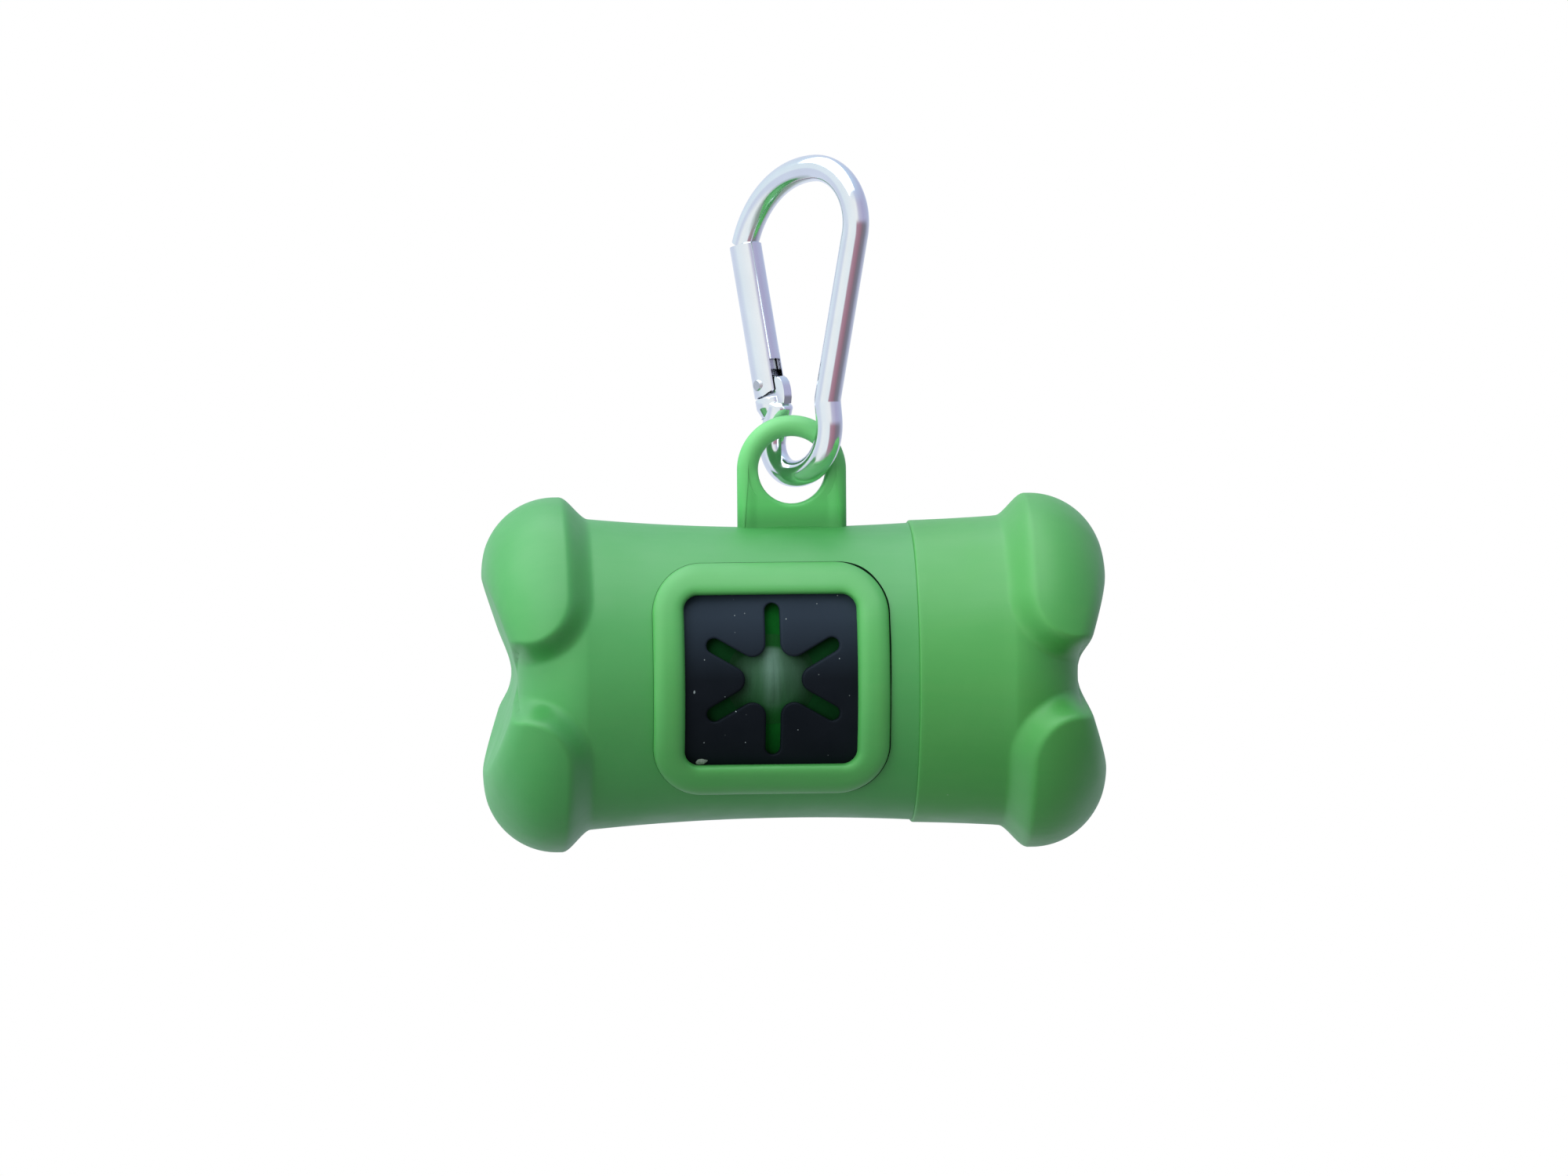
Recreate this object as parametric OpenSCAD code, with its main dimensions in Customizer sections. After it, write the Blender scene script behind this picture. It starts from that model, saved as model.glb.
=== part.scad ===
/* [Housing] */
// Overall length of the bone-shaped housing, tip to tip of the end lobes
body_len = 80; // [79:0.5:96]
// Radius of the barrel at its waist
waist_r = 18.6; // [18.2:0.1:20]
// How much the barrel's radius grows from the waist to the end lobes
waist_flare = 1.2; // [0.6:0.1:1.8]
// Radius over the lobes at each end
lobe_r = 22.7; // [21.6:0.1:24.5]
// Radius of the rounded outer shoulder of a lobe
lobe_round = 9.3; // [8:0.1:10]
// How far the V-shaped notch between two lobes cuts in from the tips
notch_depth = 4.3; // [2.5:0.1:5.5]
// Slope of the notch's faces, in degrees
notch_angle = 20; // [14:1:24]
// Width across the pad of a lobe, measured at its foot
pad_w = 18; // [15:0.2:19]
// Width of the sloped step between the pad and the barrel
pad_slope = 2.6; // [1.6:0.1:3.4]
// Radius of the chamber that holds the bag roll
chamber_r = 16; // [15.2:0.1:16.3]

/* [End cap] */
// Distance of the seam between housing and cap from the middle of the housing
seam_x = 14.7; // [12:0.1:17]
// Gap at the seam when the cap is closed
seam_gap = 0.2; // [0.1:0.05:0.3]
// Length of the threaded neck that goes into the cap
neck_len = 6; // [4:0.2:7]
// Wall of the neck under its thread
neck_wall = 1; // [0.8:0.1:1.2]
// Height of the plain locating land at the root of the neck
land_h = 0.6; // [0.4:0.1:0.7]
// Length of the locating land
land_len = 1.2; // [0.8:0.1:2]
// How far the cap's rim stands proud of the housing at the seam
cap_proud = 0.33; // [0.1:0.01:0.5]

/* [Outlet] */
// Place of the outlet along the housing, from its middle
outlet_x = -3.9; // [-6:0.1:-3]
// Outer width and height of the outlet frame
frame_w = 30; // [28:0.2:31]
// Width of the frame's bars
frame_bar = 3.9; // [3.4:0.1:4.6]
// Outer corner radius of the frame
frame_corner = 6.5; // [5.5:0.1:8]
// Height of the frame's crown over the barrel
frame_proud = 1.3; // [0.9:0.05:1.8]
// Wall of the skirt under the frame
skirt_wall = 1.1; // [0.9:0.1:1.3]
// Thickness of the rubber diaphragm
rubber_t = 1.2; // [0.8:0.1:1.3]
// Width of the star's slots
slot_w = 1.9; // [1.4:0.1:2.4]
// Reach of the star's slots from its centre
slot_reach = 9.6; // [8:0.1:10]
// Radius of the rounded petal tips
petal_r = 1.7; // [1.2:0.1:2.2]
// Radius of the hole in the housing behind the star
outlet_hole_r = 5.2; // [4.4:0.1:6]

/* [Hanging tab] */
// Width of the hanging tab
tab_w = 14; // [13:0.2:16]
// Thickness of the hanging tab
tab_t = 2.7; // [2.2:0.1:2.8]
// Height of the tab's hole over the axis of the housing
tab_hole_z = 25.95; // [25:0.1:30]

/* [Bag roll] */
// Diameter of the roll of bags
roll_d = 26; // [20:0.5:30]
// Length of the roll
roll_len = 57.4; // [50:0.2:58.5]
// Outer diameter of the cardboard core
core_d = 13; // [11:0.5:15]
// Wall of the cardboard core
core_wall = 1.1; // [0.8:0.1:2]

/* [Snap hook] */
// Diameter of the hook's rod
rod_d = 3.4; // [2.8:0.1:3.5]
// Angle between the plane of the hook and the tab
hook_turn = 50; // [49:1:58]
// Straight length of the spine
spine_len = 21.3; // [18:0.1:26]
// Radius of the bend through the tab on the spine side
bend_r = 6.45; // [6.2:0.05:6.8]
// Radius of the bend through the tab on the gate side
heel_r = 3.8; // [3.6:0.05:4.2]
// Radius of the tight bend at the top of the spine
crown_r = 6.75; // [6.3:0.05:7.2]
// Radius of the long bend that leads down to the gate
shoulder_r = 14.3; // [13.8:0.1:15]
// Outer diameter of the gate tube
gate_d = 4.1; // [3.9:0.1:4.6]
// Wall of the gate tube
gate_wall = 0.5; // [0.4:0.05:0.6]
// Diameter of the rivet's shank
rivet_d = 1.2; // [0.9:0.1:1.3]
// Wire diameter of the gate's closing spring
wire_d = 0.3; // [0.2:0.05:0.35]

/* [Hidden] */

plastic = [0.20, 0.55, 0.25];
rubber = [0.05, 0.06, 0.08];
film = [0.55, 0.68, 0.58];
card = [0.72, 0.62, 0.48];
metal = [0.82, 0.83, 0.86];
steel = [0.62, 0.63, 0.66];

fit_gap = 0.1;        // clearance of parts that are pushed together
run_gap = 0.05;       // radial clearance of a part that turns
rest_gap = 0.3;       // clearance under a part that lies loose
bite = 0.6;           // overlap that joins two volumes of one piece
fine = 96;

// ---- housing ----
half_len = body_len / 2;
pad_x = half_len - 4.6;                    // axis of the lobes' round pads
pad_z = 10.9 * lobe_r / 22.7;              // height of the pads' lower, round ends
pad_foot = pad_w / 2;
end_x = half_len - 14.5;                   // plain barrel ends here, lobes begin
shoulder_x = half_len - 0.25 - lobe_round; // centre of the lobes' shoulder rounding
shoulder_z = lobe_r - lobe_round;
notch_x = half_len - notch_depth;
dome_r = 8.5;                              // rounding of the barrel between two lobes
dome_x = notch_x - dome_r;
vertex_soft = 1.1;                         // rounding of the notch's vertex
edge_soft = 1.6;                           // rounding between the end face and the sides
end_wall = 2.2;
chamber_end = notch_x - 4.9;
waist_arc = (end_x * end_x + waist_flare * waist_flare) / (2 * waist_flare);
facet_lift = 0.07;                         // lifts the first ring clear of the barrel

function sq(v) = v * v;
function hyp(a, b) = sqrt(a * a + b * b);
function clamp01(v) = min(1, max(0, v));
function waist(x) = waist_r + waist_arc - sqrt(sq(waist_arc) - sq(min(abs(x), end_x + 2)));

// Radius of the barrel, which is domed between two lobes
dome_z = waist(dome_x) - dome_r;
function barrel_r(x) = x < dome_x ? waist(x)
    : dome_z + sqrt(max(0, sq(dome_r) - sq(x - dome_x)));

// Radius over the lobes
function envelope_r(x) = x < shoulder_x ? lobe_r
    : shoulder_z + sqrt(max(0, sq(lobe_round) - sq(x - shoulder_x)));

// Share of a lobe's height at a point: 0 outside its pad, 1 on the pad
function pad_share(x, z) =
    let (d = hyp(max(0, pad_x - x), max(0, pad_z - abs(z))),
         t = clamp01((pad_foot - d) / pad_slope))
    t * (0.5 + t * (1.5 - t));

// End face: two slopes that meet in the notch
function end_face(z) = notch_x + tan(notch_angle) * (hyp(z, vertex_soft) - vertex_soft);

function soft_max(a, b, k) = max(a, b) + sq(max(0, k - abs(a - b))) / (4 * k);

// Negative inside the end of the housing, positive outside
function end_field(x, r, z) =
    let (low = barrel_r(x), high = envelope_r(x))
    soft_max(r - low - pad_share(x, z) * (high - low),
             (x - end_face(z)) * cos(notch_angle), edge_soft);

// Distance from the middle of the end's first section to its surface
function reach(cf, sf, st, lo, hi, n) = n == 0 ? (lo + hi) / 2
    : let (m = (lo + hi) / 2)
      end_field(end_x + m * cf, m * sf, m * sf * st) > 0
          ? reach(cf, sf, st, lo, m, n - 1) : reach(cf, sf, st, m, hi, n - 1);

// Turn angles, closer together over the notch, and tilt angles from the side to the tip
turn_steps = concat([0, 4, 6, 7, 8, 9, 10, 11.5, 13, 15, 17.5],
                    [for (a = [20 : 2.5 : 40]) a], [for (a = [45 : 7.5 : 90]) a]);
turn_n = len(turn_steps);
turns = concat([for (a = turn_steps) a],
               [for (i = [turn_n - 2 : -1 : 0]) 180 - turn_steps[i]],
               [for (i = [1 : turn_n - 1]) 180 + turn_steps[i]],
               [for (i = [turn_n - 2 : -1 : 1]) 360 - turn_steps[i]]);
tilts = concat([for (a = [89 : -1.5 : 80]) a], [for (a = [77.5 : -2.5 : 60]) a],
               [for (a = [55 : -7 : 13]) a]);
ring_n = len(turns);
start_r = waist(end_x) + facet_lift;

// One end of the housing: a lobed, notched dome on the barrel's last section
module lobed_end() {
    first = [for (t = turns) [end_x - 0.2, -start_r * cos(t), start_r * sin(t)]];
    rest = [for (f = tilts) for (t = turns)
        let (m = reach(cos(f), sin(f), sin(t), 6, 40, 15))
        [end_x + m * cos(f), -m * sin(f) * cos(t), m * sin(f) * sin(t)]];
    last = len(tilts) * ring_n;
    tip = [end_x + reach(1, 0, 0, 6, 40, 15), 0, 0];
    polyhedron(
        points = concat(first, rest, [tip]),
        faces = concat(
            [[for (j = [ring_n - 1 : -1 : 0]) j]],
            [for (k = [0 : len(tilts) - 1]) for (j = [0 : ring_n - 1])
                let (a = k * ring_n + j, b = k * ring_n + (j + 1) % ring_n)
                [a, b, a + ring_n]],
            [for (k = [0 : len(tilts) - 1]) for (j = [0 : ring_n - 1])
                let (a = k * ring_n + j, b = k * ring_n + (j + 1) % ring_n)
                [b, b + ring_n, a + ring_n]],
            [for (j = [0 : ring_n - 1])
                [last + j, last + (j + 1) % ring_n, last + ring_n]]));
}

// Round bar along X from x1 to x2
module x_bar(r, x1, x2, r2 = -1) {
    translate([x1, 0, 0]) rotate([0, 90, 0])
        cylinder(h = x2 - x1, r1 = r, r2 = r2 < 0 ? r : r2, $fn = fine);
}

// Waisted barrel from x1 to x2, grown by lift
module waisted(x1, x2, lift = 0) {
    rotate([0, 90, 0]) rotate_extrude($fn = fine) difference() {
        translate([0, x1]) square([waist_r + 3 * waist_flare, x2 - x1]);
        translate([waist_r + waist_arc, 0]) circle(r = waist_arc - lift, $fn = 720);
    }
}

// Flat outline pushed along Y, from the front face y1 back to y2
module along_y(y1, y2) {
    translate([0, y2, 0]) rotate([90, 0, 0]) linear_extrude(y2 - y1) children();
}

// Square with round corners
module soft_square(w, r) {
    square([w, w - 2 * r], center = true);
    square([w - 2 * r, w], center = true);
    for (i = [-1, 1], j = [-1, 1])
        translate([i * (w / 2 - r), j * (w / 2 - r)]) circle(r = r, $fn = 48);
}

// Hollow of the housing and the cap
module chamber(x1) {
    rotate([0, 90, 0]) rotate_extrude($fn = fine)
        polygon([[0, x1], [chamber_r, x1], [chamber_r, chamber_end],
                 [chamber_r - 4, notch_x - end_wall], [0, notch_x - end_wall]]);
}

// ---- outlet ----
floor_r = chamber_r + 1.1;                 // floor of the recess behind the rubber
rubber_in = floor_r + 0.15;
rubber_out = rubber_in + rubber_t;
opening_w = frame_w - 2 * frame_bar;
opening_corner = frame_corner * 0.485;
skirt_w = frame_w - 2.8;
skirt_corner = frame_corner - 1.4;
rubber_w = skirt_w - 2 * skirt_wall - 2 * fit_gap;
rubber_corner = skirt_corner - skirt_wall - fit_gap;
tongue_w = 5;                              // width of the frame's two snap tongues
tongue_t = skirt_wall;
barb = 0.4;
front_y = -lobe_r;
tongue_x = skirt_w / 2 - tongue_t / 2;

// Everything in front of the recess floor
module outside_of(r) {
    difference() {
        children();
        x_bar(r, outlet_x - frame_w, outlet_x + frame_w);
    }
}

module outlet_recess() {
    outside_of(floor_r) translate([outlet_x, 0, 0])
        along_y(front_y, 0) soft_square(skirt_w + 2 * fit_gap, skirt_corner + fit_gap);
    translate([outlet_x, 0, 0]) along_y(front_y, 0) circle(r = outlet_hole_r, $fn = 64);
    for (s = [-1, 1]) translate([outlet_x + s * (tongue_x + barb / 2), -chamber_r, 0])
        cube([tongue_t + barb + 2 * fit_gap, 2 * (floor_r - chamber_r) + 0.6,
              tongue_w + 2 * fit_gap], center = true);
}

// ---- hanging tab ----
ring_r = tab_w / 2 - tab_t / 2;
web_t = tab_t - 0.5;                       // flat web below the ring's bead
edge_d = tab_t - 0.16;                     // beads along the web's edges

module hanging_tab() {
    plate_z = waist_r - 1;
    plate_h = tab_hole_z - plate_z;
    translate([0, 0, tab_hole_z]) rotate([90, 0, 0])
        rotate_extrude($fn = fine) translate([ring_r, 0]) circle(d = tab_t, $fn = 32);
    for (s = [-1, 1]) translate([s * ring_r, 0, plate_z])
        cylinder(d = edge_d, h = plate_h, $fn = 32);
    difference() {
        translate([-ring_r, -web_t / 2, plate_z]) cube([2 * ring_r, web_t, plate_h]);
        translate([0, 0, tab_hole_z]) along_y(-tab_t, tab_t) circle(r = ring_r, $fn = fine);
    }
}

// ---- snap hook: a path of bends and straights in its own plane ----
hook_x = 1.085;
bead = 0.04;                               // faint mark where one bend meets the next
bead_len = 0.16;
hook_low = [-0.94, tab_hole_z - 0.55];     // lowest point of the rod's centre line
// Steps of the path: radius and angle of a bend, or 0 and the length of a straight
spine_side = [[bend_r, 96.8], [0, 1.9], [2.5, -20.8], [0, spine_len],
              [crown_r, 77], [7.65, 28.7], [shoulder_r, 69.8], [0, 2.5]];
gate_side = [[bend_r, -6.3], [heel_r, -101.7], [0, 3.9]];

// State is x, y, heading; a positive angle turns left
function step(s, g) = g[0] == 0
    ? [s[0] + g[1] * cos(s[2]), s[1] + g[1] * sin(s[2]), s[2]]
    : let (k = g[1] > 0 ? 1 : -1, h = s[2] + g[1])
      [s[0] + k * g[0] * (sin(h) - sin(s[2])), s[1] + k * g[0] * (cos(s[2]) - cos(h)), h];
function walk(s, path, n) = n == 0 ? s : step(walk(s, path, n - 1), path[n - 1]);

tip_state = walk([hook_low[0], hook_low[1], 0], spine_side, 7);
neck_state = walk([hook_low[0], hook_low[1], 180], gate_side, 2);
apex_state = step(walk([hook_low[0], hook_low[1], 0], spine_side, 5), [7.65, 27]);
apex_u = apex_state[0];
apex_z = apex_state[1] - rod_d / 2;

// Hinge of the gate, above and outside of the neck
pivot = [neck_state[0] - 0.82, neck_state[1] + 6.3];
gate_dir = atan2(tip_state[1] - pivot[1], tip_state[0] - pivot[0]);
gate_top = hyp(tip_state[1] - pivot[1], tip_state[0] - pivot[0]);
gate_r = gate_d / 2;
bore_r = gate_r - gate_wall;
latch_gap = 0.25;
lug_t = 1.5;
lug_gap = 0.2;
nose_t = 1.2;
nose_len = 1.7;
nose_w = 1.8;
plug_len = 2.9;                            // solid top end of the gate tube
pin_low = 1.85;
pin_len = 5.5;
spring_low = pin_low + pin_len;
spring_high = gate_top - plug_len - latch_gap;
spring_turns = 9;

// From the plane of the hook into its place on the tab
module hook_plane() {
    translate([hook_x, 0, 0]) rotate([0, 0, -hook_turn]) rotate([90, 0, 0]) children();
}

// Frame of the gate: +Y runs from its hinge to the latch
module gate_frame() {
    hook_plane() translate([pivot[0], pivot[1], 0]) rotate([0, 0, gate_dir - 90]) children();
}

module rod_step(g) {
    if (g[0] == 0) {
        rotate([0, 90, 0]) cylinder(d = rod_d, h = g[1], $fn = 48);
    } else {
        k = g[1] > 0 ? 1 : -1;
        translate([0, k * g[0], 0]) rotate([0, 0, k > 0 ? -90 : 90 + g[1]])
            rotate_extrude(angle = abs(g[1]), $fn = fine)
                translate([g[0], 0]) circle(d = rod_d, $fn = 48);
    }
}

module rod_path(start, path) {
    for (i = [0 : len(path) - 1]) {
        s = walk(start, path, i);
        translate([s[0], s[1], 0]) rotate([0, 0, s[2]]) {
            rod_step(path[i]);
            if (i > 0) rotate([0, 90, 0])
                cylinder(d = rod_d + bead, h = bead_len, center = true, $fn = 48);
        }
    }
}

// Round bar along the gate's axis
module g_bar(r, y1, y2, r2 = -1) {
    translate([0, y1, 0]) rotate([-90, 0, 0])
        cylinder(h = y2 - y1, r1 = r, r2 = r2 < 0 ? r : r2, $fn = 48);
}

// The whole object hangs from the inside of the hook's top bend
module placed() {
    translate([-hook_x - apex_u * cos(hook_turn), apex_u * sin(hook_turn), -apex_z])
        children();
}

// ==== pieces ====

module body_shell() {
    neck_r = chamber_r + neck_wall;
    color(plastic) placed() difference() {
        union() {
            waisted(-end_x, seam_x);
            mirror([1, 0, 0]) lobed_end();
            x_bar(waist_r - bite, -end_x - 1, -end_x + 1);
            x_bar(neck_r, seam_x - 1, seam_x + neck_len);
            x_bar(neck_r + land_h, seam_x - 1, seam_x + seam_gap + land_len);
            hanging_tab();
        }
        mirror([1, 0, 0]) chamber(-seam_x - neck_len - 1);
        outlet_recess();
    }
}

module end_cap() {
    rim = seam_x + seam_gap;
    socket_r = chamber_r + neck_wall + land_h + 0.15;
    steps = 8;
    rim_round = 0.3;
    color(plastic) placed() difference() {
        union() {
            rotate([0, 90, 0]) rotate_extrude($fn = fine) polygon(concat(
                [[0, end_x], [0, rim], [waist(rim) + cap_proud - rim_round, rim]],
                [for (i = [0 : steps])
                    let (t = i / steps, x = rim + rim_round + t * (end_x - rim - rim_round))
                    [waist(x) + cap_proud * (1 - t), x]]));
            lobed_end();
            x_bar(waist_r - bite, end_x - 1, end_x + 1);
        }
        x_bar(socket_r, rim - 1, seam_x + neck_len + 0.5);
        chamber(rim);
    }
}

// Outline of the frame, s in from its outer edge
corner_steps = 6;
side_steps = 5;
function frame_outline(s) =
    let (h = frame_w / 2 - s,
         r = frame_corner - s * (frame_corner - opening_corner) / frame_bar)
    [for (q = [0 : 3]) each concat(
        [for (i = [0 : corner_steps])
            let (a = q * 90 + i * 90 / corner_steps, b = q * 90 + 45,
                 c = (h - r) * sqrt(2))
            [c * cos(b) + r * cos(a), c * sin(b) + r * sin(a)]],
        [for (i = [1 : side_steps])
            let (m = (h - r) * (1 - 2 * i / (side_steps + 1)), a = q * 90 + 90)
            [h * cos(a) - m * cos(a + 90), h * sin(a) - m * sin(a + 90)]])];

// Section of a bar: distance from the outer edge, height over the barrel
crown = frame_proud;
bar_section = [[0, fit_gap], [0, 0.45 * crown], [0.25, 0.75 * crown], [0.8, 0.95 * crown],
               [frame_bar / 2, crown], [frame_bar - 0.8, 0.95 * crown],
               [frame_bar - 0.25, 0.75 * crown], [frame_bar, 0.45 * crown],
               for (k = [4 : -1 : 1]) [frame_bar * k / 4, fit_gap]];

// The crowned ring follows the barrel's saddle
module frame_ring() {
    rings = [for (p = bar_section) [for (q = frame_outline(p[0]))
        let (x = outlet_x + q[0], r = waist(x) + p[1])
        [x, -sqrt(sq(r) - sq(q[1])), q[1]]]];
    n = len(rings[0]);
    m = len(rings);
    polyhedron(
        points = [for (g = rings) each g],
        faces = concat(
            [for (k = [0 : m - 1]) for (j = [0 : n - 1])
                let (a = k * n + j, b = k * n + (j + 1) % n,
                     c = ((k + 1) % m) * n + j)
                [a, c, b]],
            [for (k = [0 : m - 1]) for (j = [0 : n - 1])
                let (b = k * n + (j + 1) % n, c = ((k + 1) % m) * n + j,
                     d = ((k + 1) % m) * n + (j + 1) % n)
                [b, c, d]]));
}

module outlet_frame() {
    skirt_top = waist(outlet_x - frame_w / 2) + 0.45 * crown - 0.35;
    color(plastic) placed() {
        union() {
            frame_ring();
            intersection() {
                outside_of(floor_r + fit_gap) translate([outlet_x, 0, 0])
                    along_y(front_y, 0) difference() {
                        soft_square(skirt_w, skirt_corner);
                        soft_square(skirt_w - 2 * skirt_wall, skirt_corner - skirt_wall);
                    }
                x_bar(skirt_top, outlet_x - frame_w, outlet_x + frame_w);
            }
            for (s = [-1, 1]) translate([outlet_x + s * tongue_x, 0, 0]) {
                translate([-tongue_t / 2, -floor_r - 1, -tongue_w / 2])
                    cube([tongue_t, floor_r - chamber_r + 2.0, tongue_w]);
                translate([s > 0 ? 0 : -tongue_t / 2 - barb, 0.4 - chamber_r,
                           -tongue_w / 2])
                    cube([tongue_t / 2 + barb, 0.6, tongue_w]);
            }
        }
    }
}

// Outline of the star: round petal tips and round slot ends by turns
module star_opening() {
    petal_c = slot_w + 2 * petal_r;
    slot_c = slot_reach - slot_w / 2;
    polygon([for (k = [0 : 5]) each concat(
        [for (b = [240 : -15 : 120]) let (a = 60 * k)
            [petal_c * cos(a) + petal_r * cos(a + b), petal_c * sin(a) + petal_r * sin(a + b)]],
        [for (b = [-90 : 15 : 90]) let (a = 60 * k + 30)
            [slot_c * cos(a) + slot_w / 2 * cos(a + b),
             slot_c * sin(a) + slot_w / 2 * sin(a + b)]])]);
}

module outlet_diaphragm() {
    color(rubber) placed() intersection() {
        outside_of(rubber_in) translate([outlet_x, 0, 0]) along_y(front_y, 0) difference() {
            soft_square(rubber_w, rubber_corner);
            star_opening();
        }
        x_bar(rubber_out, outlet_x - frame_w, outlet_x + frame_w);
    }
}

roll_z = -(chamber_r - rest_gap - roll_d / 2);

module bag_roll() {
    color(film) placed() translate([0, 0, roll_z]) difference() {
        x_bar(roll_d / 2, -roll_len / 2, roll_len / 2);
        x_bar(core_d / 2 + run_gap, -roll_len, roll_len);
    }
}

module roll_core() {
    color(card) placed() translate([0, 0, roll_z]) difference() {
        x_bar(core_d / 2, -roll_len / 2, roll_len / 2);
        x_bar(core_d / 2 - core_wall, -roll_len, roll_len);
    }
}

// Flat end of the rod inside the gate, round over the rivet, with a shoulder inward
module hinge_lug() {
    reach_in = gate_r + 1.1;
    difference() {
        translate([0, 0, -lug_t / 2]) linear_extrude(lug_t) {
            circle(r = bore_r - 0.25, $fn = 32);
            polygon([[reach_in - 0.3, -3], [reach_in + 0.1, -1.5], [reach_in, -0.2],
                     [reach_in - 0.75, 0.7], [1.3, 1.35], [0, bore_r - 0.25],
                     [-1.2, 0], [-1.2, -3]]);
        }
        translate([0, 0, -lug_t]) cylinder(d = rivet_d + 2 * run_gap, h = 2 * lug_t, $fn = 32);
    }
}

module hook_rod() {
    color(metal) placed() {
        union() {
            difference() {
                hook_plane() rod_path([hook_low[0], hook_low[1], 0], spine_side);
                gate_frame() translate([-5, gate_top - 8, -5]) cube([10, 8, 10]);
            }
            gate_frame() translate([-nose_w / 2, gate_top - nose_len, -nose_t / 2])
                cube([nose_w, nose_len + bite, nose_t]);
            hook_plane() rod_path([hook_low[0], hook_low[1], 180], gate_side);
            gate_frame() {
                g_bar(gate_r - 0.55, -4.2, -3, gate_r);
                g_bar(gate_r, -3, -1.75);
                hinge_lug();
            }
        }
    }
}

module gate_tube() {
    slot = lug_t + 2 * lug_gap;
    mouth = nose_t + 2 * lug_gap;
    top = gate_top - latch_gap;
    color(metal) placed() gate_frame() difference() {
        g_bar(gate_r, -1.5, top);
        g_bar(bore_r, -2, gate_top - plug_len);
        // lower end, cut away on the inner side for the gate's swing
        translate([-gate_r, -1.5, -gate_d]) rotate([0, 0, 30])
            translate([-2, -6, 0]) cube([9, 6, 2 * gate_d]);
        // slot for the lug
        translate([0, -2, -slot / 2]) cube([gate_d, 5.1, slot]);
        // mouth for the rod's nose, open on the outer side
        translate([-gate_d, gate_top - nose_len - 0.5, -mouth / 2])
            cube([gate_d + nose_w / 2 + lug_gap, nose_len + 1, mouth]);
        translate([0, 0, -gate_d]) cylinder(d = rivet_d + 2 * 0.03, h = 2 * gate_d, $fn = 32);
        for (s = [0, 1]) mirror([0, 0, s]) translate([0, 0, gate_r - 0.2])
            cylinder(r = rivet_d * 0.75 + 0.1, h = gate_r, $fn = 32);
    }
}

module gate_rivet() {
    seat = gate_r - 0.2;
    head_t = 0.35;
    color(steel) placed() gate_frame() {
        union() {
            translate([0, 0, -seat]) cylinder(d = rivet_d, h = 2 * seat, $fn = 32);
            for (s = [0, 1]) mirror([0, 0, s]) translate([0, 0, seat])
                cylinder(r1 = rivet_d * 0.75, r2 = rivet_d * 0.5, h = head_t, $fn = 32);
        }
    }
}

module gate_pin() {
    color(steel) placed() gate_frame() union() {
        g_bar(bore_r - 0.15, pin_low, pin_low + 2);
        g_bar(bore_r - 0.75, pin_low + 2 - 0.1, spring_low + 2);
    }
}

// One open coil from the pin's shoulder to the plug of the gate tube
module gate_spring() {
    coil_r = bore_r - wire_d / 2 - 0.08;
    low = pin_low + 2 + wire_d / 2 + run_gap;
    high = spring_high - wire_d / 2 + 0.1;
    per_turn = 10;
    sides = 6;
    n = spring_turns * per_turn;
    lean = atan2((high - low) / spring_turns, 2 * PI * coil_r);
    rings = [for (i = [0 : n]) let (a = i * 360 / per_turn, y = low + (high - low) * i / n)
        [for (k = [0 : sides - 1])
            let (b = k * 360 / sides, o = wire_d / 2 * cos(b), v = wire_d / 2 * sin(b))
            [(coil_r + o) * cos(a) + v * sin(lean) * sin(a),
             y + v * cos(lean),
             (coil_r + o) * sin(a) - v * sin(lean) * cos(a)]]];
    color(steel) placed() gate_frame() polyhedron(
        points = [for (g = rings) each g],
        faces = concat(
            [[for (k = [0 : sides - 1]) k]],
            [for (i = [0 : n - 1]) for (k = [0 : sides - 1])
                [i * sides + k, (i + 1) * sides + k, i * sides + (k + 1) % sides]],
            [for (i = [0 : n - 1]) for (k = [0 : sides - 1])
                [i * sides + (k + 1) % sides, (i + 1) * sides + k,
                 (i + 1) * sides + (k + 1) % sides]],
            [[for (k = [sides - 1 : -1 : 0]) n * sides + k]]));
}

body_shell();
end_cap();
outlet_frame();
outlet_diaphragm();
bag_roll();
roll_core();
hook_rod();
gate_tube();
gate_rivet();
gate_pin();
gate_spring();
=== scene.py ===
"""Looks of the bone-shaped waste bag dispenser on its snap hook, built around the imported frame."""

import math

import bmesh
import bpy
import numpy as np
from mathutils import Matrix, Vector, geometry


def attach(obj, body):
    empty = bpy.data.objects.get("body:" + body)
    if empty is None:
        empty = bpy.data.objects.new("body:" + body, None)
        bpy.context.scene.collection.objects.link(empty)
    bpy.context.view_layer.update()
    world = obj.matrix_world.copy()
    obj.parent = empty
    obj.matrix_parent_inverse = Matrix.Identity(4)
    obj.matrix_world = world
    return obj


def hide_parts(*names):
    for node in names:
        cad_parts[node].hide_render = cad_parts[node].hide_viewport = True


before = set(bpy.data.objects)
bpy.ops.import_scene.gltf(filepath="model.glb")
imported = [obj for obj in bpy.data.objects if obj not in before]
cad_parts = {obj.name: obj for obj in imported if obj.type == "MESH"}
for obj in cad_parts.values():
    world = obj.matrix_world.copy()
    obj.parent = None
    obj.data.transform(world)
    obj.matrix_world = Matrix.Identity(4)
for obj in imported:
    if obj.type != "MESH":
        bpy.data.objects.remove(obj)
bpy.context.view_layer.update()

MM = 0.001

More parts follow.
